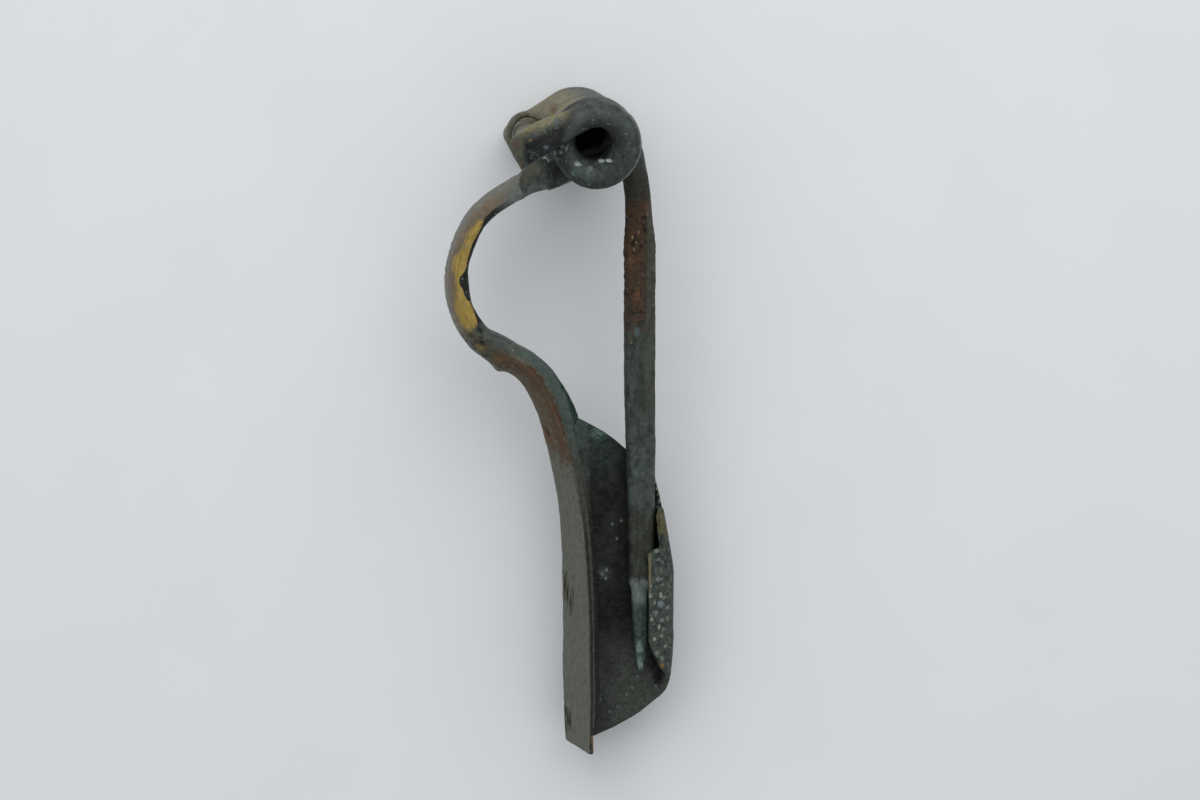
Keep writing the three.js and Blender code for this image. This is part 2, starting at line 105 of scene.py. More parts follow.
# %% [markdown]
# ## Smooth curves
#
# A hammered bar swells and tapers smoothly. Its places and sizes are given at a few stations, and a
# smooth curve runs through them. A Bezier curve could do this with handles set by hand, but a curve that
# passes through every place needs none, and the same sum serves for widths and depths.

# %% Curves through given places
def smooth_through(places):
    """A smooth curve through the places: a function of how many places along it a point lies."""
    known = [Vector(place) for place in places]
    known = [known[0] * 2 - known[1], *known, known[-1] * 2 - known[-2]]

    def at(position):
        first = max(0, min(int(position), len(known) - 4))
        share = position - first
        before, start, end, after = known[first:first + 4]
        middle = (end - start).length ** 0.5
        middle = middle if middle > 1e-4 else 1
        lead, trail = ((pair[0] - pair[1]).length ** 0.5 for pair in ((start, before), (after, end)))
        lead, trail = (gap if gap > 1e-4 else middle for gap in (lead, trail))
        leaving = ((start - before) / lead - (end - before) / (lead + middle)) * middle + (end - start)
        arriving = (end - start) + ((after - end) / trail - (after - start) / (middle + trail)) * middle
        square, cube = share ** 2, share ** 3
        return (start * (2 * cube - 3 * square + 1) + leaving * (cube - 2 * square + share)
                + end * (3 * square - 2 * cube) + arriving * (cube - square))

    return at


def value_through(values):
    """The same for plain numbers."""
    curve = smooth_through([(value, 0, 0) for value in values])
    return lambda position: curve(max(0, min(position, len(values) - 1))).x


def blend_step(value, low, high):
    """Rises smoothly from 0 at low to 1 at high."""
    share = max(0.0, min(1.0, (value - low) / (high - low)))
    return share * share * (3 - 2 * share)


def spread(start, end, steps):
    return [start + (end - start) * step / steps for step in range(steps + 1)]


print("midway between 0, 1 and 0 the curve is at", round(value_through((0, 1, 0))(0.5), 2))

# %% [markdown]
# ## The bow
#
# The bow is the brooch's showpiece: a head with an "eye" notched into each side, a high arch that is
# domed outside, a small knob across the waist, and a foot like a ridged roof. Its crown line is a smooth
# curve through sixteen stations, given as shares of the bow's rise and length. At each station a section
# is set square to the crown, and it turns from a dome into a roof under the knob.

# %% The bow's crown and sizes, in millimetres
bow_rise, bow_length, bow_depth = 15.7, 66.6, 3.0
head_width, arch_width, foot_width, foot_depth, foot_edge = 11.0, 7.2, 12.4, 2.9, 0.5
keel_width, keel_depth, web_width, web_depth, web_end_share = 5.0, 2.3, 1.9, 1.2, 0.3
plate_thickness = 0.9
crown_shares = [
    (0.28, 0.0443), (0.439, 0.0578), (0.602, 0.0766), (0.822, 0.1186),
    (0.965, 0.183), (1.0, 0.222), (0.962, 0.2905), (0.815, 0.348),
    (0.618, 0.379), (0.476, 0.403), (0.379, 0.44), (0.274, 0.517),
    (0.19, 0.62), (0.162, 0.78), (0.158, 0.9), (0.137, 1.0),
]
crest_station, foot_station, keel_end = 8, 15, 10.6
crown = smooth_through([(-rise * bow_rise, -length * bow_length, 0) for rise, length in crown_shares])
depth_at = value_through([share * bow_depth for share in (
    0.87, 0.8, 0.73, 0.7, 0.78, 0.83, 0.92, 1.0, 1.13)])
width_at = value_through(
    [share * head_width for share in (0.86, 1.0, 0.94, 0.8)]
    + [share * arch_width for share in (1.06, 1.0, 0.93, 0.83, 0.75)])
roof_depth = value_through([share * foot_depth for share in (
    0.66, 0.69, 0.69, 0.75, 0.86, 0.98, 1.0, 0.88)])
roof_width = value_through([share * foot_width for share in (
    0.42, 0.45, 0.5, 0.61, 0.74, 0.89, 0.97, 1.0)])


def frame_at(station):
    """The crown's place, its direction towards the foot, and the direction into the bow."""
    step = 0.001
    start, end = max(0, station - step), min(foot_station, station + step)
    forward = (crown(end) - crown(start)).normalized()
    return crown(station), forward, Vector((-forward.y, forward.x, 0))


print("the bow's top at the arch, mm from the spring:", round(-crown(5).x, 1))

# %% [markdown]
# Half a section is drawn from the crown round to the underside, as half widths and depths: a dome for
# the arch, and a roof with thin eaves and a keel for the foot. Both kinds have the same number of
# corners, so that one can turn into the other.

# %% The dome and roof sections
dome_curve = smooth_through(
    [(0, 0, 0), (0.4, 0.05, 0), (0.75, 0.21, 0), (0.94, 0.48, 0), (0.97, 0.76, 0)])
keel_fillet = 0.12  # how many stations the keel takes to drop to the web


def dome(station):
    half, deep = width_at(station) / 2, depth_at(station)
    round_part = [dome_curve(4 * step / 9) for step in range(10)]
    shares = [(point.x, point.y) for point in round_part] + [(0.92, 0.93), (0.78, 1.0), (0.4, 1.0)]
    return [(across * half, down * deep) for across, down in shares]


def web_at(station):
    """The keel's depth, which drops to a low web under the foot and fades at its end."""
    keel = keel_depth * (0.5 + 0.5 * min(1.0, (station - crest_station) / (keel_end - crest_station)))
    faded = 1 - (1 - web_end_share) * blend_step(station, foot_station - 0.5, foot_station)
    return keel + (web_depth * faded - keel) * blend_step(station, keel_end, keel_end + keel_fillet)


def roof(station):
    half, deep = roof_width(station - crest_station) / 2, roof_depth(station - crest_station)
    share = max(0.0, min(1.0, (station - crest_station) / (keel_end - crest_station)))
    top = (keel_width * (1 - share) + web_width * share) / 2
    dropped = blend_step(station, keel_end, keel_end + keel_fillet)
    low = 0.9 * top + (0.55 * plate_thickness - 0.9 * top) * dropped
    eave = deep - foot_edge
    slope = [(half * step / 8, eave * (step / 8) ** 1.12) for step in range(9)]
    return slope + [(half, deep), (top * 1.15, deep), (top, deep + 0.15), (low, deep + web_at(station))]


print("a section's corners:", len(dome(0)), "in a dome and", len(roof(crest_station)), "in a roof")

# %% [markdown]
# A whole section mirrors the half. The knob swells outwards, and the foot's end is cut at a slant.

# %% One whole section of the bow
knob_swell, knob_length, foot_slant = 0.45, 0.27, 0.8


def bow_ring(station):
    """One section of the bow, closed, with the knob's swelling where it has one."""
    origin, forward, inward = frame_at(station)
    turned = blend_step(station, crest_station - 0.3, crest_station + 0.8)
    swell = knob_swell * math.exp(-((station - crest_station) / knob_length) ** 2)
    half_section = []
    for (dome_z, dome_down), (roof_z, roof_down) in zip(dome(station), roof(station)):
        z = dome_z + (roof_z - dome_z) * turned
        down = dome_down + (roof_down - dome_down) * turned
        outer = 1 - blend_step(down, 0.5, 2.4)
        half_section.append((z * (1 + swell * 0.12), down - swell * outer))
    widest = max(z for z, _ in half_section)
    reach = foot_slant * blend_step(station, foot_station - 0.5, foot_station)

    def corner(z, down, side):
        place = origin + inward * down + forward * (reach * z * side / widest)
        return Vector((place.x, place.y, z * side))

    near = [corner(z, down, 1) for z, down in half_section]
    far = [corner(z, down, -1) for z, down in half_section[1:]]
    return near + far[::-1]


print("widths at head, arch and foot's end, mm:", [round(width, 1) for width in (
    width_at(1), width_at(5), roof_width(foot_station - crest_station))])

# %% [markdown]
# A smith draws a bar out by hammering it a short stretch at a time. Here a round of corners is added as
# a primitive, and each further stretch is an extrusion whose corners are moved into place. That keeps
# full control of a section that changes all the way, which one straight extrusion can't give.

# %% Draw out the bow
def alone(piece):
    """Makes a piece the only one selected, and the active one."""
    bpy.ops.object.select_all(action="DESELECT")
    piece.select_set(True)
    bpy.context.view_layer.objects.active = piece


def draw_out(name, rings):
    """A closed bar: the first ring is a primitive, and each further ring is extruded and placed."""
    bpy.ops.object.select_all(action="DESELECT")
    bpy.ops.mesh.primitive_circle_add(vertices=len(rings[0]), fill_type="NGON")
    piece = bpy.context.object
    piece.name = piece.data.name = name
    bpy.ops.object.mode_set(mode="EDIT")
    for number, ring in enumerate(rings):
        if number:
            bpy.ops.mesh.extrude_region_move()
        shape = bmesh.from_edit_mesh(piece.data)
        end_face = next(face for face in shape.faces if face.select)
        for corner, place in zip(end_face.verts, ring):
            corner.co = place
        bmesh.update_edit_mesh(piece.data)
    bpy.ops.mesh.select_all(action="SELECT")
    bpy.ops.mesh.normals_make_consistent(inside=False)
    bpy.ops.object.mode_set(mode="OBJECT")
    bpy.ops.object.shade_smooth()
    print(name, "is drawn out in", len(rings), "rounds")
    return piece


bow_stations = spread(0, 7.6, 38) + spread(7.68, 8.9, 16) + spread(9.05, foot_station, 40)
bow = draw_out("wrought_bow", [bow_ring(station) for station in bow_stations])

# %% [markdown]
# The eyes are filed into the head's two sides. A cylinder is stood square to the head at each eye and
# taken away from it with a boolean, as a round file would.

# %% File the two eyes into the head
def finish_with(piece, kind, **settings):
    """Adds a modifier to a piece and applies it."""
    alone(piece)
    bpy.ops.object.modifier_add(type=kind)
    modifier = piece.modifiers[-1]
    for setting, value in settings.items():
        setattr(modifier, setting, value)
    bpy.ops.object.modifier_apply(modifier=modifier.name)


def even_out(piece, cell, smoothing):
    """Rebuilds the surface as even small squares, which melts joined shapes into one metal."""
    finish_with(piece, "REMESH", mode="VOXEL", voxel_size=cell, use_smooth_shade=True)
    finish_with(piece, "SMOOTH", factor=0.5, iterations=smoothing)
    print(piece.name, "has", len(piece.data.polygons), "faces")


eye_radius, eye_inset, eye_station, eye_depth, file_length = 2.1, 0.9, 0.65, 1.2, 8
eye_place, eye_forward, eye_inward = frame_at(eye_station)
eye_turn = Matrix((eye_forward, eye_inward.cross(eye_forward), eye_inward)).transposed().to_4x4()
for side in (-1, 1):
    middle = eye_place + eye_inward * eye_depth
    bpy.ops.object.select_all(action="DESELECT")
    bpy.ops.mesh.primitive_cylinder_add(vertices=48, radius=eye_radius, depth=file_length)
    file = bpy.context.object
    file.matrix_world = Matrix.Translation(
        (middle.x, middle.y, side * (head_width / 2 - eye_inset))) @ eye_turn
    finish_with(bow, "BOOLEAN", operation="DIFFERENCE", object=file, solver="EXACT")
    bpy.data.objects.remove(file)
even_out(bow, cell=0.15, smoothing=3)

# %% [markdown]
# ## Wear on the bow
#
# Two thousand years in the ground leave a bronze bow lumpy, and a smith's tools leave marks on it: a row
# of small nicks over the arch's crown, chisel strokes along the foot's ridge, and two deep gouges above
# them. Marks this small are pressed into the even mesh by moving the corners that lie near each of them.

# %% Where each corner lies on the bow
crown_samples = [(station, *frame_at(station)) for station in spread(0, foot_station, 3000)]
crown_tree = KDTree(len(crown_samples))
for number, sample in enumerate(crown_samples):
    crown_tree.insert(sample[1], number)
crown_tree.balance()


def bow_place(corner):
    """Station along the bow, depth under the crown and height towards the camera."""
    flat = Vector((corner.x, corner.y, 0))
    station, origin, forward, inward = crown_samples[crown_tree.find(flat)[1]]
    return Vector((station, (flat - origin).dot(inward), corner.z))


def on_bow(station, down, z):
    """A place in the brooch's own frame from its station, its depth under the crown and its height."""
    origin, _, inward = frame_at(station)
    return Vector((*(origin + inward * down).xy, z))


print("the crown is sampled at", len(crown_samples), "stations")

# %% [markdown]
# A nick or a stroke presses corners in along a line. A blow on an edge draws the metal out to one side.

# %% Press marks in and draw an edge out
def press(piece, marks):
    """Presses marks into a piece: each is a start, an end, a half width and a depth."""
    normals = [corner.normal.copy() for corner in piece.data.vertices]
    for start, end, half_width, depth in marks:
        line = end - start
        for corner, normal in zip(piece.data.vertices, normals):
            offset = corner.co - start
            if offset.length > line.length + 2:
                continue
            share = max(0.0, min(1.0, offset.dot(line) / line.length_squared))
            away = (offset - line * share).length
            if away < 3 * half_width:
                corner.co -= normal * depth * math.exp(-(away / half_width) ** 2)


def pull(piece, place, shift, reach):
    """Draws the metal near a place towards one side, as blows on an edge spread it."""
    for corner in piece.data.vertices:
        corner.co += shift * math.exp(-((corner.co - place).length / reach) ** 2)


edge_shift, edge_reach = 0.74, 1.5
for station in (0.0, 0.45, 0.9):
    pull(bow, on_bow(station, 0.1, 2.6), frame_at(station)[2] * -edge_shift, edge_reach)
print("the head's edge is drawn out by", edge_shift, "mm at each of three blows")

# %% [markdown]
# Hammering and corrosion leave the whole surface softly dented, with large marks and small ones.

# %% Nicks over the arch, strokes and gouges on the foot
def hammer(piece, *marks, where=""):
    """Dents a surface by soft cloud patterns, mostly inwards. Each has a size and a depth in mm."""
    for grain, depth in marks:
        clouds = bpy.data.textures.new(f"{piece.name}_marks_{grain}", "CLOUDS")
        clouds.noise_scale, clouds.noise_depth = grain, 2
        finish_with(piece, "DISPLACE", texture=clouds, texture_coords="LOCAL", mid_level=0.7,
                    strength=depth, vertex_group=where)


nicks = [(on_bow(station, 0.15, -1.6), on_bow(station, 0.15, 1.6), 0.28, 0.14)
         for station in spread(2.2, 5.0, 11)]
strokes = [(on_bow(*start), on_bow(*end), half_width, depth) for start, end, half_width, depth in (
    ((12.62, 0.4, 1.1), (12.9, 0.1, 0.3), 0.18, 0.34),
    ((12.72, 0.5, 1.5), (12.88, 0.35, 1.0), 0.16, 0.28),
    ((12.79, 0.9, 2.4), (13.05, 0.6, 1.7), 0.2, 0.34),
    ((14.38, 0.05, 0.2), (14.6, 0.3, 0.9), 0.2, 0.36),
    ((14.45, 0.3, 1.0), (14.85, 0.25, 0.8), 0.16, 0.3),
    ((14.5, 0.52, 1.6), (14.8, 0.5, 1.5), 0.16, 0.3),
    ((14.62, 0.1, 0.3), (14.9, 0.05, 0.2), 0.22, 0.16),
    ((10.58, 0.45, 0.8), (10.72, 0.7, 1.2), 0.24, 0.25),
    ((10.86, 0.6, 1.0), (10.98, 0.75, 1.3), 0.18, 0.18))]
press(bow, nicks + strokes)
print(len(nicks), "nicks and", len(strokes), "strokes are pressed in")
hammer(bow, (3.2, 0.2), (0.7, 0.07))

# %% [markdown]
# ## The catchplate and its fold
#
# The plate is a flat sheet under the foot's web, and its edge is curled over to hold the pin. Its
# outline is placed corner by corner and extruded to its thickness, and the curl is drawn out along its
# edge. One even rebuild then melts sheet and curl into one piece of metal.

# %% The catchplate's sizes and outline
fold_offset, fold_radius, fold_thickness, fold_lip = 1.45, 2.1, 0.8, 0.6
pin_offset = 5.65
plate_reach = pin_offset + fold_offset + fold_radius + fold_thickness / 2
top_shares = [(0.21, 0.486), (0.44, 0.512), (0.795, 0.559), (0.83, 0.581), (0.882, 0.613)]
end_shares = [(0.995, 0.88), (0.98, 0.901), (0.937, 0.917), (0.865, 0.928), (0.625, 0.955),
              (0.323, 0.98)]
fold_shares = [  # length, reach, part of the full curl, part of the lip
    (0.607, 0.88, 0.3, 0.1), (0.612, 0.882, 0.58, 0.15), (0.62, 0.89, 0.72, 0.15),
    (0.672, 0.955, 0.78, 0.15), (0.674, 0.958, 0.9, 0.3), (0.682, 0.97, 0.99, 0.75),
    (0.715, 1, 1, 1), (0.823, 1.003, 1, 1), (0.84, 0.999, 0.98, 0.7), (0.852, 0.995, 0.93, 0.5),
    (0.865, 0.988, 0.86, 0.25), (0.876, 0.982, 0.77, 0.1), (0.89, 0.975, 0.52, 0.05),
    (0.902, 0.965, 0.3, 0.0),
]


def fold_row(position):
    """The curl's values at a place between its rows."""
    first = min(int(position), len(fold_shares) - 2)
    share = position - first
    return [low + (high - low) * share for low, high in zip(fold_shares[first], fold_shares[first + 1])]


def under_foot(station, below):
    """A place some way below the foot's underside."""
    origin, _, inward = frame_at(station)
    return origin + inward * (roof_depth(station - crest_station) + below)


print("the plate reaches, mm:", round(plate_reach, 2))

# %% [markdown]
# The sheet's outline runs down the outer edge and back up inside the foot's web. Where the curl joins,
# it ends just past the curl's root, so that the two overlap. A flat face of this outline is extruded
# once.

# %% Draw the plate
curl_overlap, root_overlap = 0.2, 0.5
fold_steps = spread(0, len(fold_shares) - 1, 91)
edge = [(reach * plate_reach, -length * bow_length) for reach, length in top_shares]
edge += [(reach * plate_reach - fold_radius - fold_thickness / 2 + curl_overlap, -length * bow_length)
         for length, reach, _, _ in fold_shares if length < 0.88]
edge += [(reach * plate_reach, -length * bow_length) for reach, length in end_shares]
root = [under_foot(station, web_at(station) - root_overlap)
        for station in spread(keel_end - 0.1, foot_station, 14)]
corners = edge + [tuple(place.xy) for place in root[::-1]]
plate = draw_out("catch_sheet", [
    [Vector((x, y, z)) for x, y in corners] for z in (-plate_thickness / 2, plate_thickness / 2)])

# %% [markdown]
# The curl is a strip bent round an arc. The arc is longest in the middle and opens towards both ends,
# so it is drawn out in rounds along the edge, where one Bend or one spin would curl it evenly.

# %% Draw the curl
curl_root, curl_trim = 0.8, 0.03
fold_rings = []
for step in fold_steps:
    length, reach, curl, lip = fold_row(step)
    x, y = reach * plate_reach - fold_radius - fold_thickness / 2, -length * bow_length
    sweep = curl * math.pi
    angles = [sweep * part / 14 - math.pi / 2 for part in range(15)]
    lip_end = Vector((math.cos(sweep), 0, math.sin(sweep))) * lip * fold_lip

    def arc(radius):
        places = [Vector((x + radius * math.cos(angle), y, fold_radius + radius * math.sin(angle)))
                  for angle in angles]
        return [Vector((x - curl_root, y, places[0].z)), *places, places[-1] + lip_end]

    outside = arc(fold_radius + fold_thickness / 2 - curl_trim)
    fold_rings.append(outside + arc(fold_radius - fold_thickness / 2)[::-1])
curled_edge = draw_out("curled_edge", fold_rings)

# %% [markdown]
# A boolean would leave a crease where the curl meets the sheet. A voxel rebuild makes one even mesh of
# both, and a little smoothing rounds the edges as hammering does.

# %% Melt the plate and its curl into one sheet
alone(plate)
curled_edge.select_set(True)
bpy.ops.object.join()
even_out(plate, cell=0.13, smoothing=3)
hammer(plate, (2.6, 0.12), (0.6, 0.06))

# %% [markdown]
# ## The spring
#
# The spring is a round wire, wound in three turns and a part on each side of the head. The far half and
# the chord are one stretch of it and the near half another, because the near half turns with the pin.
# The Screw modifier could wind a circle into turns, but they would all be alike. Here each half is drawn
# out round by round along points worked out from the turns' radius and rise. The near half's straight
# stretch was beaten flat and wide, so its rounds can grow wider and squarer to the corner.

# %% The spring's sizes
wire, bore, coil_gap, waist_gap, whole_turns = 2.8, 3.95, 0.55, 0.5, 3
chord_stand_off, chord_sag, chord_lift, corner_radius = 3.4, 0.2, 0.7, 1.7
near_reach, band_end_width, band_squareness = 0.75, 4.0, 3.4
coil_swell, knee_inset, knee_drop = 0.45, 0.75, 2.0
coil_radius, inner_z, pitch = (bore + wire) / 2, (wire + waist_gap) / 2, wire + coil_gap
band_slope, tail_angle = math.radians(1.3), math.radians(20)
steps_per_turn, wire_corners = 52, 20
print("turns' outer radius and pitch, mm:", coil_radius + wire / 2, pitch)

# %% [markdown]
# The wire comes in along a straight band, goes down through the turns, and widens or draws in over the
# last quarter turn. The bend from the band into the chord is a quarter circle.

# %% The turns and the bands
def polar(radius, angle, z=0.0):
    return Vector((radius * math.cos(angle), radius * math.sin(angle), z))


def coil_point(angle, swell=0.0):
    return polar(coil_radius + swell, angle, inner_z + pitch * angle / math.tau)


class Band:
    """The straight stretch that leaves a coil for the chord's end."""

    def __init__(self, entry_degrees, reach):
        entry = math.radians(entry_degrees)
        self.outer_angle = entry + math.tau * whole_turns
        self.start = coil_point(self.outer_angle)
        self.direction = Vector((-math.sin(entry), math.cos(entry), math.tan(band_slope))).normalized()
        end_x = -(coil_radius + chord_stand_off + chord_sag + reach)
        self.length = (end_x - self.start.x) / self.direction.x

    def at(self, distance):
        return self.start + self.direction * distance

    def corner(self):
        """The bend from the band into the chord."""
        centre = self.at(self.length - corner_radius) - Vector((0, 0, corner_radius))
        return [centre + self.direction * (corner_radius * math.sin(angle))
                + Vector((0, 0, corner_radius * math.cos(angle))) for angle in spread(0, math.pi / 2, 10)]


def coil_path(band, last_angle, most_swell):
    """In through the turns to the last angle, where the last quarter turn widens or draws in."""
    steps = round((band.outer_angle - last_angle) / math.tau * steps_per_turn)
    angles = spread(band.outer_angle, last_angle, steps)
    quarter = [max(0.0, 1 - (angle - last_angle) / (math.pi / 2)) for angle in angles]
    return [coil_point(angle, most_swell * share ** 2) for angle, share in zip(angles, quarter)]


far_band, near_band = Band(123, 0), Band(115, near_reach)
print("the bands' lengths, mm:", round(far_band.length, 1), round(near_band.length, 1))

# %% [markdown]
# Rounds are set square to a path. A round can be squarer than a circle, and can have one slanted facet.

# %% Rounds along a path
facet_lean, facet_start, facet_fade, pin_squareness = 0.92, 1.32, 0.4, 3.2
facet_back = (0.54, 0.5)  # how much of what stands over the facet is taken off in width and in depth


def wire_rounds(stations, across, corners=wire_corners, facet=False):
    """Rounds along a path. A station is a centre, a half width, a half depth and a squareness of 2 up."""
    rounds = []
    for number, (centre, half_width, half_depth, squareness) in enumerate(stations):
        before, after = stations[max(number - 1, 0)][0], stations[min(number + 1, len(stations) - 1)][0]
        forward = (after - before).normalized()
        level = Vector((forward.y, -forward.x, 0))
        if level.length > 0.7:
            across = level if level.dot(across) > 0 else -level
        across = (across - forward * across.dot(forward)).normalized()
        up = across.cross(forward)
        ring = []
        for angle in spread(0, math.tau, corners)[:-1]:
            cosine, sine = math.cos(angle), math.sin(angle)
            x = math.copysign(abs(cosine) ** (2 / squareness), cosine)
            z = math.copysign(abs(sine) ** (2 / squareness), sine)
            over = x + facet_lean * z - (facet_start + facet_fade * (pin_squareness - squareness))
            if facet and over > 0:
                x, z = x - over * facet_back[0], z - over * facet_back[1]
            ring.append(centre + across * (x * half_width) + up * (z * half_depth))
        rounds.append(ring)
    return rounds


def mirrored(places):
    return [Vector((place.x, place.y, -place.z)) for place in places]


def band_half_width(distance):
    return wire / 2 + (band_end_width / 2 - wire / 2) * distance / near_band.length


print("the near band's width at its end, mm:", round(2 * band_half_width(near_band.length), 1))

# %% [markdown]
# The far wire is followed from the head's end through its neck, its turns and its band, and then along
# the chord. Its turns are worked out as if they lay on the near side, and then mirrored.

# %% The far half and the chord, from the head to the near band
head_place, head_forward, head_inward = frame_at(0)
head_back = head_place + head_inward * (depth_at(0) / 2)
neck_angle = math.atan2(head_forward.x, -head_forward.y)
far_coil = coil_path(far_band, neck_angle, head_back.dot(head_inward) - coil_radius)
neck_length = (head_back - far_coil[-1]).dot(head_forward) + 1.2
neck_shape = smooth_through([
    far_coil[-1], *(far_coil[-1] + head_forward * (neck_length * share)
                    - Vector((0, 0, far_coil[-1].z * levelled))
                    for share, levelled in ((0.3, 0.6), (0.6, 0.95), (1, 1)))])
neck = [neck_shape(step) for step in spread(0, 3, 10)][1:]
far_straight = [far_band.at(distance) for distance in spread(
    0, far_band.length - corner_radius, 10)[1:-1]]
far_corner, near_corner = far_band.corner(), near_band.corner()
chord_middle = far_band.at(far_band.length) + Vector((chord_sag, chord_lift, 0))
chord_middle.z = 0
chord_run = smooth_through([mirrored(far_corner)[-1], chord_middle, near_corner[-1]])
print("the neck's length, mm:", round(neck_length, 1))

# %% [markdown]
# The wire is thickest where it leaves the head. The chord turns from round to square at its near end.

# %% The far wire's rounds
half, neck_swell = wire / 2, 0.12
far_stations = []
for number, place in enumerate(mirrored(neck[::-1] + far_coil[::-1])):
    radius = half * (1 + neck_swell * blend_step(number, 8, 0))
    far_stations.append((place, radius, radius, 2))
far_stations += [(place, half, half, 2) for place in mirrored(far_straight + far_corner)]
far_stations += [(chord_run(step), half, half, 2 + 0.6 * blend_step(step, 1.7, 2))
                 for step in spread(0, 2, 24)[1:-1]]
split_length, far_overlap, near_overlap, near_slimmer = wire * 1.05, 0.4, 0.5, 0.98
corner_width = band_half_width(near_band.length - corner_radius)
for number, place in enumerate(near_corner[::-1]):
    risen = number / (len(near_corner) - 1)
    far_stations.append((place, half + (corner_width - half) * risen ** 0.7, half,
                         2.6 + (band_squareness - 2.6) * risen))


def band_station(distance):
    squareness = 2 + (band_squareness - 2) * blend_step(distance, 0, near_band.length - corner_radius)
    return near_band.at(distance), band_half_width(distance), half, squareness


far_stations += [band_station(distance) for distance in spread(
    near_band.length - corner_radius, split_length - far_overlap, 8)[1:]]
far_wire = draw_out("far_wire", wire_rounds(far_stations, head_inward))

# %% [markdown]
# The near wire starts inside the band, a little slimmer, so that the join stays hidden while it turns.
# Its outermost turn is uneven: the outer edge bulges in one place, and the inner edge grows into the
# bore. That growth is given at every eighth of a turn. A short curve leads on to the pin.

# %% The near half, from its band through its turns to where the pin begins
pin_width, pin_root_drop, pin_root_stray = 3.6, 6.6, -0.08
tail_start = coil_point(tail_angle, coil_swell)
pin_root = Vector((pin_offset + pin_root_stray * pin_width, -pin_root_drop, inner_z))
knee = Vector((pin_offset - knee_inset, -knee_drop, inner_z))
near_wire_end, pin_start = 0.86, 0.7  # shares of the tail: the wire and the pin overlap there
ring_bulge, bulge_turn, bulge_span = 0.11, 0.61, 0.12


def tail(share):
    return tail_start * (1 - share) ** 2 + knee * (2 * share * (1 - share)) + pin_root * share ** 2


bore_edge = value_through((0.02, 0.12, 0.27, 0.29, 0.24, 0.14, -0.04, -0.16, 0.0, 0.0))
near_stations = []
for distance in spread(split_length + near_overlap, 0, 9)[:-1]:
    place, half_width, half_depth, squareness = band_station(distance)
    near_stations.append((place, half_width * near_slimmer, half_depth * near_slimmer, squareness))
for place in coil_path(near_band, tail_angle, coil_swell):
    turned_in = (near_band.outer_angle - (place.z - inner_z) / pitch * math.tau) / math.tau
    bulge = ring_bulge * math.exp(-((turned_in - bulge_turn) / bulge_span) ** 2)
    grown = bore_edge(turned_in * 8)
    outward = Vector((place.x, place.y, 0)).normalized() * (bulge - grown)
    near_stations.append((place + outward, half + bulge + grown, half, 2))
near_stations += [(tail(share), half * (1 + 0.06 * share), half, 2)
                  for share in spread(0, near_wire_end, 18)[1:]]
near_wire = draw_out("near_wire", wire_rounds(
    near_stations, near_band.direction.cross(Vector((0, 0, 1)))))

# %% [markdown]
# Each half is rounded off by a subdivision. Blows on the near band's end have drawn its corner out.

# %% Round the wires off and draw out the band's corner
corner_blows = (  # place, shift, reach
    ((-8.2, -1.0, 12.5), (-0.3, -1.1, 0), 1.5),
    ((-6.7, -0.6, 12.0), (0, -0.45, 0), 1.3),
    ((-9.2, -0.1, 12.0), (-0.35, -0.05, 0), 1.2),
)
for piece in (far_wire, near_wire):
    finish_with(piece, "SUBSURF", levels=1, render_levels=1)
    if piece == far_wire:
        for place, shift, reach in corner_blows:
            pull(piece, Vector(place), Vector(shift), reach)
    hammer(piece, (2.2, 0.12), (0.6, 0.06))
    print(piece.name, "has", len(piece.data.polygons), "faces")

# %% [markdown]
# ## Painted shade in the spring
#
# The hole through the spring looks black from above, as it lies in deep shade. A black disc would show
# that from straight above only. A rough black plug that is drawn out inside the far turns stands in for
# that shade, and looks right from every side.

# %% Put a black plug into the far half of the spring, as painted shade
plug_rings = [[polar(radius, angle, z) for angle in spread(0, math.tau, 24)[:-1]]
              for radius, z in ((0.5, -10.6), (1.5, -10.4), (2.05, -9.8), (2.1, -7.5), (2.1, -5.2),
                                (2.0, -3.9), (1.4, -3.2), (0.5, -3.0))]
# Painted shade: the black plug stands in for the deep shade in the bore.
earth_plug = draw_out("earth_plug", plug_rings)
finish_with(earth_plug, "SUBSURF", levels=2, render_levels=2)
hammer(earth_plug, (1.2, 0.35))

# %% [markdown]
# ## The pin
#
# The pin is the wire's end, hammered flat. It starts round where the near half lets it go, widens into a
# bar with one slanted facet, and steps down to a slim tip that lies in the catchplate's curl. Below the
# spring its left edge is eaten by corrosion. A tapered cylinder would be quick, but this pin changes its
# width and its line many times, so both are given at stations along it, as for the bow.

# %% The pin's stations: distance down, width, depth and how square the section is
pin_depth, tip_drop = 2.7, 58.6
catch_lift = (plate_thickness + pin_depth) / 2 + 0.45
pin_shares = [  # share of the length, width share, stray share
    (0, 0.92, pin_root_stray), (0.11, 1, -0.01), (0.38, 0.97, 0), (0.53, 0.92, 0.045), (0.74, 0.8, 0.07),
    (0.815, 0.75, 0.055), (0.83, 0.53, 0.035), (0.9, 0.49, 0.06), (0.97, 0.36, 0.075), (1, 0.14, 0.08),
]
pin_size = value_through([size for _, size, _ in pin_shares])
pin_stray = value_through([stray for _, _, stray in pin_shares])
round_width = wire * 1.04


def pin_station(length):
    """The pin's centre, half width, half depth and squareness at a share of its length."""
    position = next(number for number in range(len(pin_shares) - 1)
                    if length <= pin_shares[number + 1][0] + 1e-9)
    low, high = pin_shares[position][0], pin_shares[position + 1][0]
    position += (length - low) / (high - low)
    size, stray = pin_size(position), pin_stray(position)
    centre = Vector((pin_offset + stray * pin_width,
                     -pin_root_drop + (pin_root_drop - tip_drop) * length,
                     inner_z + (catch_lift - inner_z) * length))
    settled = blend_step(length, -0.02, 0.13)
    width = round_width + (size * pin_width - round_width) * settled
    depth = round_width + (size * pin_depth - round_width) * settled
    return centre, width / 2, depth / 2, 2 + (pin_squareness - 2) * settled


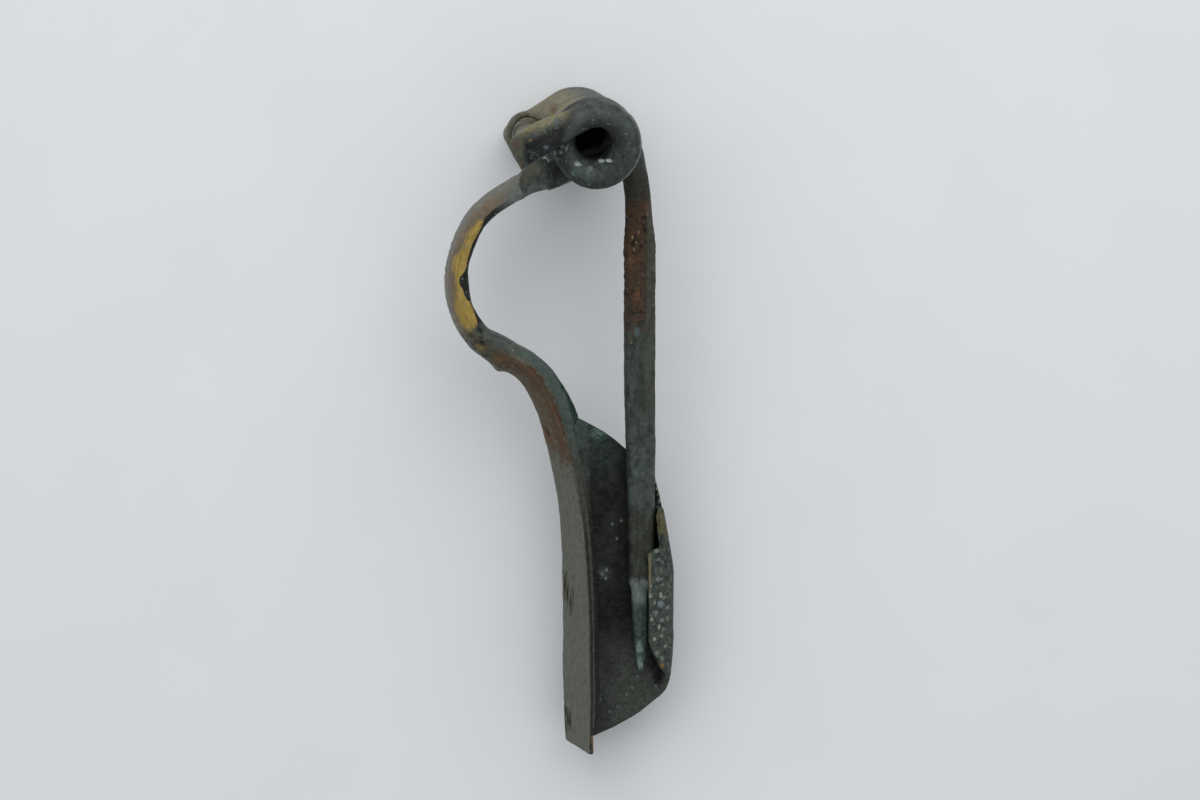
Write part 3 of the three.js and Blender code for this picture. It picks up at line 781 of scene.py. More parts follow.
print("the pin is thinnest at the tip, mm:", round(2 * pin_station(1)[1], 2))

# %% [markdown]
# The corroded stretch is marked by a weight on its corners, and dented more deeply than the rest.

# %% Draw out the pin
pin_stations = [(tail(share), round_width / 2, round_width / 2, 2)
                for share in spread(pin_start, 1, 7)[:-1]]
pin_stations += [pin_station(length) for length in spread(0, 1, 170)]
pin = draw_out("pin_blade", wire_rounds(pin_stations, Vector((1, 0, 0)), 24, facet=True))
finish_with(pin, "SUBSURF", levels=1, render_levels=1)
corroded = pin.vertex_groups.new(name="corroded")
for corner in pin.data.vertices:
    x, y, _ = corner.co
    rusty = blend_step(y, -5.5, -9) * blend_step(y, -21, -16)
    rusty *= 0.35 + 0.65 * blend_step(x, pin_offset, pin_offset - 1)
    corroded.add([corner.index], rusty, "REPLACE")
hammer(pin, (2.2, 0.12), (0.6, 0.06))
hammer(pin, (0.45, 0.3), where="corroded")
press(pin, [(Vector((3.8, -11, 2)), Vector((3.8, -12.6, 2)), 0.6, -0.16)])

# %% [markdown]
# ## The hook
#
# A narrow strip was split from the head's top and bent over the chord, which it holds down. A flat
# strip with a Bend would keep one curve, but this one opens towards its lip. So it is drawn out along
# its own bend with ten corners, and a subdivision surface rounds it.

# %% Draw out the hook
hook_width, hook_thickness, hook_gap, hook_loosening = 3.0, 0.7, 0.2, 0.35
hook_station, hook_from, hook_to = 0.95, math.radians(212), math.radians(46)
hook_origin, _, hook_inward = frame_at(hook_station)
hook_curl = wire / 2 + hook_gap + hook_thickness / 2
hook_line = [hook_origin + hook_inward * 0.5, hook_origin - hook_inward * 0.5]
for angle in spread(hook_from, hook_to, 14):
    loosened = hook_loosening * blend_step(angle, math.radians(160), math.radians(90))
    hook_line.append(chord_middle + polar(hook_curl + loosened, angle))
hook_rings = []
for number, place in enumerate(hook_line):
    before, after = hook_line[max(number - 1, 0)], hook_line[min(number + 1, len(hook_line) - 1)]
    forward = (after - before).normalized()
    over = Vector((forward.y, -forward.x, 0))
    half_strip = hook_width / 2 * (1 - 0.3 * number / (len(hook_line) - 1))
    thick = hook_thickness / 2 * (1 if number < len(hook_line) - 2 else 0.8)
    hook_rings.append([place + over * (x * thick) + Vector((0, 0, z * half_strip)) for x, z in (
        (1, 0), (1, 0.7), (0.7, 1), (-0.7, 1), (-1, 0.7), (-1, 0), (-1, -0.7), (-0.7, -1),
        (0.7, -1), (1, -0.7))])
hook = draw_out("split_hook", hook_rings)
finish_with(hook, "SUBSURF", levels=2, render_levels=2)
hammer(hook, (1.6, 0.1))

# %% [markdown]
# ## Setting the pieces down
#
# Before a piece is laid on the paper, each corner keeps its place in the upright frame as an attribute.
# The finishes read it, so a patch of wear stays where it is on the metal when the pin swings.

# %% Keep each corner's place, then lay the pieces down
pieces = (bow, plate, far_wire, near_wire, pin, hook, earth_plug)


def keep_places(piece, name, places):
    attribute = piece.data.attributes.new(name, "FLOAT_VECTOR", "POINT")
    attribute.data.foreach_set("vector", [number for place in places for number in place])


for piece in pieces:
    keep_places(piece, "own_place", [corner.co.copy() for corner in piece.data.vertices])
on_bow_places = [bow_place(corner.co) for corner in bow.data.vertices]
keep_places(bow, "bow_place", on_bow_places)
keep_places(bow, "under_eave", [Vector((down - roof_depth(along - crest_station), 0, 0))
                                for along, down, _ in on_bow_places])
for piece in pieces:
    piece.matrix_world = laid_down
    alone(piece)
    bpy.ops.object.transform_apply(location=True, rotation=True, scale=True)
print(len(pieces), "pieces are laid down")

# %% [markdown]
# ## Finishes
#
# Buried bronze grows a patina: a thin mineral skin that is smooth and grey-green where it is sound,
# dark and grainy where it is not, and rubbed through to yellow metal where hands and tools touched it.
# A painted picture could hold the patches, but nodes that read the metal's own places stay sharp however
# near the camera comes. So every finish is a network of nodes, made with two helpers.

# %% Colours and nodes
def metal_colour(hex_code):
    """An sRGB hex colour as the linear numbers that a shader takes."""
    parts = [int(hex_code[start:start + 2], 16) / 255 for start in (1, 3, 5)]
    return (*[part / 12.92 if part <= 0.04045 else ((part + 0.055) / 1.055) ** 2.4
              for part in parts], 1)


def in_use(sockets, name=None):
    """The first socket that is in use, or the first one of a name."""
    return next(socket for socket in sockets if socket.enabled and name in (None, socket.name))


def add(tree, kind, inputs=(), **settings):
    """Adds a node, sets its settings, and sets or links its inputs by name or number."""
    made = tree.nodes.new(kind)
    for setting, value in settings.items():
        setattr(made, setting, value)
    for key, value in dict(inputs).items():
        socket = made.inputs[key] if isinstance(key, int) else in_use(made.inputs, key)
        value = getattr(value, "socket", value)
        if isinstance(value, bpy.types.Node):
            value = in_use(value.outputs)
        if isinstance(value, bpy.types.NodeSocket):
            tree.links.new(value, socket)
        else:
            socket.default_value = value
    return made


print("a middle grey in linear numbers:", round(metal_colour("#808080")[0], 3))

# %% [markdown]
# ### Values and masks
#
# A finish depends on where a point lies on the metal, in millimetres. Such a value can be added to and
# multiplied, and a limit makes a mask of it: 1 on one side, 0 on the other, with a soft and ragged edge.

# %% Values that vary over the metal
class Value:
    """A number that varies over the metal."""

    def __init__(self, finish, socket):
        self.finish, self.socket = finish, socket

    def __add__(self, other):
        return self.finish.maths("ADD", self, other)

    def __sub__(self, other):
        return self.finish.maths("SUBTRACT", self, other)

    def __mul__(self, other):
        return self.finish.maths("MULTIPLY", self, other)

    def mapped(self, low, high, first=0.0, last=1.0, **settings):
        """Runs from the first to the last value as this one goes from low to high."""
        return self.finish.value("ShaderNodeMapRange", {
            "Value": self, "From Min": low, "From Max": high, "To Min": first, "To Max": last},
            "Result", **settings)

    def above(self, limit, soft=0.1, ragged=0.0, ends=(0.0, 1.0)):
        """A mask that is 1 where the value is over a limit, with a soft and ragged edge."""
        value = self
        if ragged:
            value = value + (self.finish.wander - 0.5) * (ragged * 2)
        if isinstance(limit, Value):
            value, limit = value - limit, 0.0
        return value.mapped(limit - soft, limit + soft, *ends, interpolation_type="SMOOTHSTEP")

    def below(self, limit, soft=0.1, ragged=0.0):
        return self.above(limit, soft, ragged, ends=(1.0, 0.0))

    def between(self, low, high, soft=0.1, ragged=0.0):
        return self.above(low, soft, ragged) * self.below(high, soft, ragged)

    def limit(self, *places):
        """A limit that wanders as this value changes, from pairs of a value and the limit there."""
        first, last, most = places[0][0], places[-1][0], max(there for _, there in places)
        share = self.mapped(first, last)
        curve = add(self.finish.tree, "ShaderNodeFloatCurve", {"Value": share})
        points = curve.mapping.curves[0].points
        spots = [((at - first) / (last - first), there / most) for at, there in places]
        points[0].location, points[1].location = spots[0], spots[-1]
        for spot in spots[1:-1]:
            points.new(*spot)
        curve.mapping.update()
        return Value(self.finish, curve.outputs[0]) * most


print("a value can be:", ", ".join(name for name in vars(Value) if name[0] != "_"))

# %% [markdown]
# ### A patina and its layers
#
# Each finish starts as a cloudy patina of three shades with small pits. Its patterns are given as so
# many lumps to the millimetre, and are as coarse as they need to be to show.

# %% A patina of three shades
mottle_per_mm, grain_per_mm, wander_per_mm, spotty_per_mm, pits_per_mm = 1.2, 4.5, 1.7, 2.2, 1.1


class Patina:
    """The patina that every finish starts from, with the patterns that its layers use."""

    def __init__(self, name, dark, middle, pale, roughness=0.5, kept="own_place"):
        self.material = bpy.data.materials.new(name)
        self.material.use_nodes = True
        self.tree = self.material.node_tree
        self.tree.nodes.clear()
        self.place, self.kept = self.kept_place("own_place"), self.kept_place(kept)
        self.mottle, self.grain = self.noise(mottle_per_mm, 5), self.noise(grain_per_mm, 4)
        self.wander, self.spotty = self.noise(wander_per_mm, 5), self.noise(spotty_per_mm, 3)
        tone = self.noise(0.35, 3) * 0.4 + self.mottle * 0.6
        ramp = add(self.tree, "ShaderNodeValToRGB", {"Fac": tone})
        stops = ramp.color_ramp.elements
        stops[0].position, stops[0].color = 0.40, metal_colour(dark)
        stops[1].position, stops[1].color = 0.62, metal_colour(pale)
        stops.new(0.51).color = metal_colour(middle)
        self.colour, self.metal = ramp.outputs["Color"], 0.0
        self.rough = self.mottle.mapped(0.35, 0.65, roughness + 0.12, roughness - 0.08)
        self.height = self.mottle * 0.6 + self.grain * 0.4 - self.pits() * 0.35

    def value(self, kind, inputs, output=0, **settings):
        return Value(self, add(self.tree, kind, inputs, **settings).outputs[output])

    def maths(self, operation, *values):
        return self.value("ShaderNodeMath", dict(enumerate(values)), operation=operation)

    def kept_place(self, name):
        return add(self.tree, "ShaderNodeAttribute", attribute_name=name).outputs["Vector"]

    def axes(self, place=None):
        """The three numbers of a kept place."""
        parts = add(self.tree, "ShaderNodeSeparateXYZ", {"Vector": place or self.kept})
        return [Value(self, part) for part in parts.outputs]

    def stretched(self, factors):
        """The kept place with each of its numbers multiplied."""
        return add(self.tree, "ShaderNodeVectorMath", {0: self.kept, 1: factors},
                   operation="MULTIPLY").outputs[0]

    def noise(self, per_mm, detail, place=None):
        """A cloudy pattern with so many lumps to the millimetre."""
        return self.value("ShaderNodeTexNoise", {
            "Vector": place or self.place, "Scale": per_mm, "Detail": detail, "Roughness": 0.6}, "Fac")

    def pits(self):
        """Small round pits where corrosion ate in."""
        away = self.value("ShaderNodeTexVoronoi", {"Vector": self.place, "Scale": pits_per_mm},
                          "Distance")
        return away.below(0.16, 0.08) * self.noise(0.5, 2).above(0.54, 0.06)

    def show(self):
        print(self.material.name, "has", len(self.tree.nodes), "nodes")


print("mottle and grain, lumps to the millimetre:", mottle_per_mm, grain_per_mm)

# %% [markdown]
# Layers are laid over the patina through masks. Two shades in a layer take turns in a mottle, as a
# patina does. Sharp edges are rubbed brighter, and hollows are darkened with painted shade.

# %% Layers over the patina
class Finish(Patina):
    """A patina with layers over it. Each has a mask, a colour, and maybe a metal share and roughness."""

    def mixed(self, share, one, other, kind="RGBA"):
        return in_use(add(self.tree, "ShaderNodeMix", {"Factor": share, "A": one, "B": other},
                          data_type=kind).outputs)

    def lay(self, mask, colours, metal=None, rough=None):
        """Lays one or two shades over what is there, and where given a metal share and a roughness."""
        shades = [metal_colour(code) for code in colours.split()]
        colour = shades[0] if len(shades) == 1 else self.mixed(self.spotty.above(0.5, 0.14), *shades)
        self.colour = self.mixed(mask, self.colour, colour)
        if metal is not None:
            self.metal = self.mixed(mask, self.metal, metal, "FLOAT")
        if rough is not None:
            self.rough = self.mixed(mask, self.rough, rough, "FLOAT")

    def dab(self, colours, size, *places, ragged=3.0, soft=0.3, **laid):
        """Lays ragged spots of one size, which may be longer one way, at given places."""
        across = [1 / side for side in size]
        scaled = self.stretched(across)
        nearest = 99.0
        for place in places:
            centre = [part * share for part, share in zip(place, across)]
            away = self.value("ShaderNodeVectorMath", {0: scaled, 1: centre}, "Value",
                              operation="DISTANCE")
            nearest = self.maths("MINIMUM", away, nearest)
        crumbled = (self.wander * 0.5 + self.grain * 0.5 - 0.5) * ragged
        self.lay((nearest + crumbled).below(0.75, soft), colours, **laid)

    def flecks(self, per_mm, rarity, colour, where=1.0):
        """Irregular flecks where a cloudy pattern peaks, in a mask or everywhere at one strength."""
        self.lay(self.noise(per_mm, 2).above(rarity, 0.03) * where, colour)

    def worn_edges_and_hollow_shade(self, colour, share=0.7, metal=0.3):
        """Sharp edges are rubbed brighter, and hollows are darkened with painted shade."""
        shape = self.value("ShaderNodeNewGeometry", (), "Pointiness")
        # Painted shade: hollows are laid nearly black, as shade falls in them.
        self.lay(shape.below(0.45, 0.04) * 0.8, "#0b0c0b")
        self.lay(shape.above(0.565, 0.035) * share, colour, metal=metal)

    def done(self, bump_mm=0.09, sheen=0.25):
        bump = add(self.tree, "ShaderNodeBump", {
            "Height": self.height, "Strength": 1.0, "Distance": bump_mm * MM})
        shader = add(self.tree, "ShaderNodeBsdfPrincipled", {
            "Base Color": self.colour, "Metallic": self.metal, "Roughness": self.rough,
            "Normal": bump, "Specular IOR Level": sheen})
        add(self.tree, "ShaderNodeOutputMaterial", {"Surface": shader})
        self.show()
        return self.material


print("a finish can:", ", ".join(name for name in vars(Finish) if name[0] != "_"))

# %% [markdown]
# ### Patinated bronze of the bow
#
# The bow's places are its station, the depth under the crown and the height. The head is a cool grey
# with painted shade in its eye. The arch's near side is brownish grey with a painted highlight along its
# rim, and its inner strip is painted nearly black as shade.

# %% The bow's finish: head and arch
skin = Finish("patinated_bronze_bow", "#3f413a", "#4d4f47", "#5a5b52", kept="bow_place")
along, down, height = skin.axes()
near_side, head = height.above(0.2, 0.4), along.below(2.5, 0.5, 0.8)
arch, foot = along.between(2.2, 7.0, 0.4, 0.6), along.above(8.1, 0.3, 0.5)
skin.lay(head, "#545a58 #6b726c")
skin.lay(head * down.below(0.8, 0.4, 0.5), "#747063 #64675e")
# Painted shade: a dark spot in the near eye's notch.
skin.dab("#161c17 #242a24", (0.42, 1.1, 1.6), (0.6, 0.95, 3.6), soft=0.75)
skin.lay(along.below(0.4, 0.25, 0.4) * height.above(2, 1), "#2c322c #3d4845")
skin.lay(arch * down.below(1.4, 0.2, 0.3), "#64593f #686156")
# Painted highlight: the arch's rim along the crown is laid paler.
skin.lay(arch * down.below(0.32, 0.15, 0.2), "#6d6f68 #66645a")
skin.lay(arch * down.between(0.3, 1.3, 0.25, 0.3) * skin.wander.above(0.52, 0.09),
         "#7b694f #6f6152")
brass_inner = along.limit(
    (2.89, 1.35), (3.32, 1.78), (3.7, 1.78), (4.03, 1.96), (4.69, 2.0), (4.95, 1.7), (5.15, 1.4),
    (5.35, 1.7), (5.68, 2.09), (5.78, 2.45), (6.19, 2.45), (6.57, 2.07))
# Painted shade: the arch's inner strip, past the brass, is laid nearly black.
skin.lay(along.above(2.3, 0.4) * along.below(6.7, 0.15, 0.3) * down.above(brass_inner, 0.07, 0.08),
         "#22241f #11130f")
skin.show()

# %% [markdown]
# Past the knob the roof's slope is olive grey and brushed along its length, with a blotchy reddish
# streak of copper oxide near its upper edge. The keel under it is a cool teal grey, and a dark line of
# painted shade runs under its eaves.

# %% The bow's finish: knob and foot
skin.lay(along.between(6.55, 8.3, 0.25, 0.5) * near_side, "#3a3527 #4a4b41")
skin.lay(along.between(6.6, 8.0, 0.3, 0.4) * down.above(2.0, 0.3, 0.4), "#3e4641 #4b524c")
skin.dab("#6d5f38 #54462a", (0.3, 0.5, 1.5), (7.15, 0.9, 1.8), (7.75, 0.8, 1.5))
skin.dab("#151611", (0.2, 0.35, 1.2), (7.4, 0.5, 1.2), (7.0, 1.5, 2.4), (7.95, 0.3, 1),
         (6.65, 2.1, 2.6))
brushing_and_streak_sheen = skin.noise(1.0, 3, skin.stretched((1.2, 6, 6)))
skin.lay(foot, "#505148 #5d5f56")
skin.lay(foot * brushing_and_streak_sheen.above(0.53, 0.08) * 0.35, "#6b6c61")
skin.height = skin.height + foot * brushing_and_streak_sheen * 0.5
skin.worn_edges_and_hollow_shade("#7f7a62", 0.45)
skin.lay(along.between(8.2, 11.1, 0.5, 0.9) * down.below(1.9, 0.3, 0.5), "#52452b #494331")
from_streak = skin.maths("ABSOLUTE", down - along.limit(
    (7.8, 0.95), (8.56, 1.3), (8.98, 1.7), (9.7, 1.6), (10.35, 1.75), (10.76, 1.7), (11.3, 1.6)))
skin.lay(along.between(7.7, 11.2, 0.2, 0.5) * from_streak.below(0.62, 0.45, 1.6) * near_side,
         "#553e2c #44382a", rough=0.7)
skin.dab("#58412f #4c392b", (0.16, 0.3, 0.9), (9.0, 1.9, 3), (9.6, 1.7, 3), (10.2, 1.8, 3),
         (10.55, 1.75, 3), soft=0.5)
skin.lay(foot * down.above(2.45, 0.12, 0.25) * along.below(11.2, 0.4, 0.4), "#43514b #515b54")
eave, past_keel = skin.axes(skin.kept_place("under_eave"))[0], along.above(11.5, 0.9, 0.4)
# Painted shade: a dark line just under the eaves.
skin.lay(past_keel * eave.above(-0.4, 0.07, 0.05), "#171815 #262722")
skin.lay(past_keel * eave.between(0.12, 0.62, 0.1, 0.1), "#42453e #56584f")
skin.lay(along.above(12.4, 0.6, 0.3) * eave.above(0.72, 0.15, 0.15), "#1c1f1c #282c28")
skin.lay(along.between(9.6, 11.0, 0.2, 0.4) * down.above(3.6, 0.25, 0.4), "#16281f #24403a")
skin.show()

# %% [markdown]
# The gouges and strokes keep dark dirt. One long patch with a waist is rubbed to bare brass on the arch,
# and its metal is scratched along the bow, with lighter streaks of painted highlight. The foot's last
# corner shows a little brass too.

# %% The bow's finish: dirt in the marks and bare brass
skin.dab("#0f0d09", (0.12, 0.3, 0.6), (10.65, 0.55, 1.0), (10.92, 0.7, 1.2))
skin.dab("#5e4126 #4b3826", (0.22, 0.4, 0.9), (10.72, 0.35, 0.6), (10.85, 0.75, 1.3), soft=0.5)
skin.dab("#25241c #323126", (0.14, 0.13, 0.9), (12.72, 0.28, 0.6), (12.84, 0.5, 1.2),
         (12.92, 0.74, 2.0), (14.5, 0.18, 0.4), (14.64, 0.34, 0.8), (14.64, 0.52, 1.5), (14.8, 0.1, 0.3),
         ragged=1.5)
brass_outer = along.limit(
    (3.03, 1.1), (3.29, 0.98), (3.63, 0.95), (3.87, 0.95), (4.2, 0.62), (4.77, 0.7),
    (5.26, 1.07), (5.63, 0.91), (5.93, 0.73), (6.3, 0.81), (6.47, 1.02))
brass = (along.between(3.0, 6.5, 0.08, 0.15) * near_side * down.above(brass_outer, 0.26, 0.3)
         * down.below(brass_inner, 0.06, 0.12))
skin.lay(brass, "#a38a49 #8e7946", metal=0.6, rough=0.42)
# Scratches along the brass, laid lighter as a painted highlight.
skin.lay(brass * brushing_and_streak_sheen.above(0.52, 0.12), "#b09850")
skin.dab("#705e38 #5a5038", (0.1, 0.2, 0.7), (14.97, 2.45, 5.7), (14.87, 2.5, 5.9), metal=0.3)
skin.flecks(1.6, 0.68, "#7b8079", along.below(8.5, 0.5) * 0.7)
bow.data.materials.append(skin.done())

# %% [markdown]
# ### The catchplate's dark sheet
#
# The sheet has a nearly black, grainy skin with a few pale specks. It is teal at its top and paler grey
# low down.

# %% The catchplate's finish: the sheet
skin = Finish("dark_grainy_patina", "#0a0c0a", "#121412", "#1e211e", 0.6)
x, y, z = skin.axes()
sheet, curl = z.below(1.0, 0.3), z.above(1.2, 0.4)
skin.lay(sheet * y.above(-36, 2.5, 2.5) * x.below(3.2, 2.2, 1.5), "#16261f #2a4139")
skin.lay(sheet * y.above(-43, 3) * x.below(0.3, 0.3, 0.3), "#3a4440 #4d5852")
skin.lay(sheet * y.below(-55.5, 2.5, 1.6), "#363933 #464a44")
skin.lay(sheet * skin.noise(0.3, 2).above(0.5, 0.12) * x.below(3.6, 0.9, 0.8) * 0.7,
         "#232623 #2e322f")
skin.flecks(2.6, 0.62, "#2e322e", sheet * 0.6)
skin.lay(curl, "#3a433f #474c44")
skin.lay(curl * skin.wander.below(0.47, 0.09), "#272c29 #323733")
skin.lay(curl * y.between(-43.4, -40.9, 0.3, 0.5), "#57533a #464532")
skin.worn_edges_and_hollow_shade("#6c6a55", 0.5)
skin.show()

# %% [markdown]
# The curl is grey and thickly flecked with white, stained ochre at its upper end, yellowish on its lip,
# and chipped to brass at its lower tip. Specks of a few sizes lie on the curl and on the sheet, and a
# painted shadow darkens the sheet beside the curl's lower end.

# %% The catchplate's finish: the curl and the specks
skin.lay(curl * y.between(-50, -45, 0.5, 0.6) * x.below(6.75, 0.12, 0.15), "#736f50 #5d5b45")
skin.flecks(1.5, 0.64, "#666d66", curl * 0.8)
skin.dab("#7f867e #5f665f", (0.34, 0.26, 1.5), (7.5, -48.2, 4.4), (6.7, -49.95, 4.4),
         (7.3, -51.9, 4.4), (8.0, -52.7, 4.4), (8.65, -51.4, 4.2), (8.0, -54.4, 4.4), (7.3, -45.0, 4.3),
         (8.2, -50.2, 4.3), (7.5, -56.3, 4.2), ragged=4.5, soft=0.4)
skin.dab("#8c9289 #6a7169", (0.18, 0.28, 1.5), (6.75, -48.8, 4.4), (7.85, -49.9, 4.4),
         (8.7, -52.6, 4.2), (7.5, -44.2, 4.2), (7.2, -54.8, 4.4), (7.2, -50.7, 4.4), (8.4, -55.6, 4.2),
         (7.9, -47.2, 4.3), (7.7, -53.4, 4.4), (6.9, -52.6, 4.4), (8.1, -57.0, 4.0), ragged=4.5, soft=0.5)
skin.dab("#65757a", (0.45, 0.45, 1.5), (7.9, -50.9, 4.4))
skin.dab("#84713f", (0.3, 0.55, 1.0), (8.05, -57.8, 3.9), metal=0.4, rough=0.5)
skin.dab("#4d544f #343a36", (0.8, 0.8, 1.5), (2.0, -47.9, 0.5), soft=0.5)
skin.dab("#707871", (0.2, 0.22, 1.5), (1.8, -48.1, 0.5), (2.3, -47.7, 0.5), (2.2, -48.6, 0.5))
skin.dab("#868b80 #5c6158", (0.16, 0.3, 1), (7.55, -37.9, 0.5), (7.8, -38.6, 0.5),
         (7.95, -39.3, 0.5), (8.1, -40.0, 0.5), (8.4, -40.8, 0.5))
# Painted shadow: the sheet is darkened beside the curl's lower end.
skin.dab("#121412", (0.9, 1.5, 1.5), (8.1, -59.3, 0.5), (7.6, -57.9, 0.5), soft=0.5)
skin.dab("#565f59", (0.22, 0.2, 1.5), (2.9, -42.6, 0.5), (3.4, -44.2, 0.5), (3.9, -42.2, 0.5),
         (5.8, -59.5, 0.5), (2.7, -63.4, 0.5), (7.8, -60.6, 0.5), (4.6, -61.5, 0.5), (5.2, -60.8, 0.5),
         (3.6, -62.9, 0.5), (1.6, -62.0, 0.5))
skin.dab("#5a6a60 #24403a", (1.1, 0.8, 1.5), (1.4, -32.6, 0.5))
plate.data.materials.append(skin.done(0.12, 0.2))

# %% [markdown]
# ### The spring's wire and the hook
#
# The wire is cool grey-green and mottled, and painted nearly black inside its turns as shade. The far
# turns are rubbed yellowish on their upper side. The flat band is painted dark as shade, and its upper
# side is worn yellowish with a painted highlight. The outermost ring has a painted highlight round its
# middle and on its right edge, and painted shade at its inner edge and low down.

# %% The wire's finish: turns, band and ring
skin = Finish("grey_green_wire_patina", "#282c2a", "#363a37", "#474c49")
x, y, z = skin.axes()
far_upper = z.below(5.5, 1.0, 1.0) * y.above(1.6, 1.5, 0.8)
skin.lay(far_upper * x.below(-0.6, 2.0, 1.2), "#7b7356 #66685f")
skin.lay(z.below(10.6, 0.8, 0.5) * x.below(-5.2, 0.5, 0.5), "#57523e #444137")
skin.lay(x.above(3.2, 0.8) * y.below(-3.2, 1.2, 0.8), "#2b2924 #35322c")
band, band_rise = x.below(-3.4, 1.0, 0.6) * z.above(9, 1), y - x * 0.466
# Painted shade: the flat band's middle is laid nearly black.
skin.lay(band, "#0b0d0c #161917")
# The band's upper edge is worn yellowish, with a painted highlight on it.
skin.lay(band * band_rise.above(4.2, 0.5, 0.5), "#4f5047 #3c3e38")
skin.lay(band * band_rise.above(4.95, 0.35, 0.6), "#7d7750 #696752")
skin.lay(x.below(-8.2, 0.25, 0.4) * z.above(9, 1) * y.below(1.2, 0.6), "#565140 #45443c")
from_axis = skin.maths("SQRT", x * x + y * y)
ring = from_axis.below(5.2, 0.3) * z.above(8.0, 0.8)
# Painted shade: the ring darkens towards the bore.
skin.lay(ring * from_axis.below(2.7, 0.5, 0.3) * 0.6, "#1a1e1d")
# Painted highlight: the ring's crown is paler on its upper side.
skin.lay(ring * from_axis.between(3.1, 4.1, 0.4, 0.4) * y.above(0.5, 1.5) * 0.4, "#4f5554")
# Painted shade: the ring's outer part darkens low down.
skin.lay(ring * from_axis.above(4.0, 0.4, 0.4) * y.below(-2.5, 1.0) * 0.7, "#1f211f #2a2621")
# Painted highlight: a pale rim along the ring's outer right edge.
skin.lay(ring * from_axis.above(4.45, 0.12, 0.1) * x.above(2.4, 0.8) * 0.7, "#6c7171")
skin.worn_edges_and_hollow_shade("#6f7069", 0.35, 0.2)
skin.flecks(1.9, 0.66, "#5f6b68", 0.8)
skin.show()

# %% [markdown]
# White and teal crusts sit low on the outermost ring, painted shade lies where the band leaves the ring,
# and rusty stains lie on the band. The bore is painted black as shade, and the far turns are rubbed once
# more, grey behind the ring and yellowish towards the hook.

# %% The wire's finish: crusts, stains and the far turns
skin.lay(y.below(-0.4, 0.6) * z.above(7, 1) * skin.spotty.above(0.54, 0.08), "#2f3a36 #374440")
skin.dab("#76837f #58665f", (0.3, 0.38, 3), (-3.9, -0.2, 12), (-4.05, -0.85, 12),
         (-3.4, -0.42, 12), (-4.8, -1.4, 12), (-4.6, -1.0, 12), (-2.3, -2.05, 12), (-0.9, -2.6, 12),
         (-1.1, -3.1, 12), (-2.6, -3.1, 12))
skin.dab("#a3aca9 #8b9693", (0.42, 0.25, 3), (0.35, -1.75, 12), (1.1, -1.72, 12),
         (-2.15, -2.2, 12), ragged=2.0)
skin.dab("#465550 #36403c", (0.9, 0.8, 3), (-2.2, -2.9, 12), (-1.0, -3.4, 12), soft=0.5)
skin.dab("#44534f", (0.45, 0.4, 3), (3.1, 2.2, 13))
# Painted shade: dark patches where the band leaves the ring.
skin.dab("#151817 #212624", (1.1, 0.8, 3), (-6.5, -0.5, 12.5), (-4.9, 0.9, 12.5), soft=0.6)
skin.dab("#4d585b", (0.4, 0.4, 3), (-5.9, -0.1, 13), (-4.75, 2.6, 13))
skin.dab("#5e4e37", (0.28, 0.24, 3), (-7.5, 0.65, 13.5), soft=0.5)
skin.dab("#503f2f", (0.35, 0.35, 3), (-8.3, -2.0, 12.5), (-8.9, 0.2, 12.5), soft=0.5)
# Painted shade: the bore is laid black.
skin.lay(from_axis.below(2.5, 0.16) * z.below(11.0, 0.6), "#060706")
skin.lay(far_upper, "#5f635f #50544f")
skin.lay(far_upper * x.below(-1.2, 1.6, 1.2), "#827b5d #737164")
skin.lay(x.below(-6.6, 0.5, 0.4) * z.below(9.6, 0.6), "#605b45 #4b493c")
skin.dab("#6e5637 #5b4b34", (0.6, 0.8, 4), (-3.6, 3.1, -3), soft=0.5)
wire_material = skin.done()
far_wire.data.materials.append(wire_material)
near_wire.data.materials.append(wire_material)

# %% [markdown]
# The hook was handled most, so its edges are rubbed pale. The plug in the bore is black and dull, as
# painted shade.

# %% The hook's finish and the bore plug's painted shade
skin = Finish("rubbed_hook_patina", "#403f33", "#545243", "#666350")
skin.worn_edges_and_hollow_shade("#7f7b60", 0.6, 0.3)
hook.data.materials.append(skin.done())
# Painted shade: the bore plug is black and dull.
earth_plug.data.materials.append(
    Finish("packed_black_earth", "#040404", "#070706", "#0c0b0a", 0.8).done(0.2, 0.05))

# %% [markdown]
# ### The pin's brown and grey skin
#
# Under the spring the pin is rust brown and crusty on its left, and grey-green on its slanted facet.
# Further down it is grey with teal stains, brownish above the step, and teal-white on the slim tip.

# %% The pin's finish: rust below the spring
skin = Finish("brown_and_grey_pin_patina", "#262b27", "#343a34", "#434942", 0.52)
x, y, z = skin.axes()
rust = y.above(-20.5, 1.6, 2.5) * x.below(6.2, 0.3, 0.5)
skin.lay(y.above(-17.5, 1.2, 1.5), "#25211a #332b20", rough=0.7)
skin.lay(rust, "#33261a #433526", rough=0.72)
skin.lay(rust * skin.wander.above(0.53, 0.05), "#4d3524 #3f2e20")
skin.lay(rust * skin.mottle.below(0.42, 0.04), "#1b120a")
skin.lay(x.above(6.25, 0.15, 0.25) * y.above(-30, 3), "#393a33 #45463d")
skin.dab("#503827 #5a412d", (0.45, 0.8, 2), (6.4, -7.4, 3), (4.5, -13.5, 3), (5.2, -17, 3),
         ragged=4.5, soft=0.5)
skin.dab("#776844", (0.13, 0.26, 2), (4.7, -10.7, 3), (5.05, -11.3, 3), (4.85, -12.1, 3),
         (6.35, -8.2, 3), (4.6, -22.3, 3), (5.3, -10.2, 3), ragged=4.0)
skin.lay(y.above(-7.0, 0.8, 0.8), "#2b2924 #35322c")
skin.show()

# %% [markdown]
# Long streaks run down the blade, because it was drawn out that way. A noise that is stretched along
# the pin gives them.

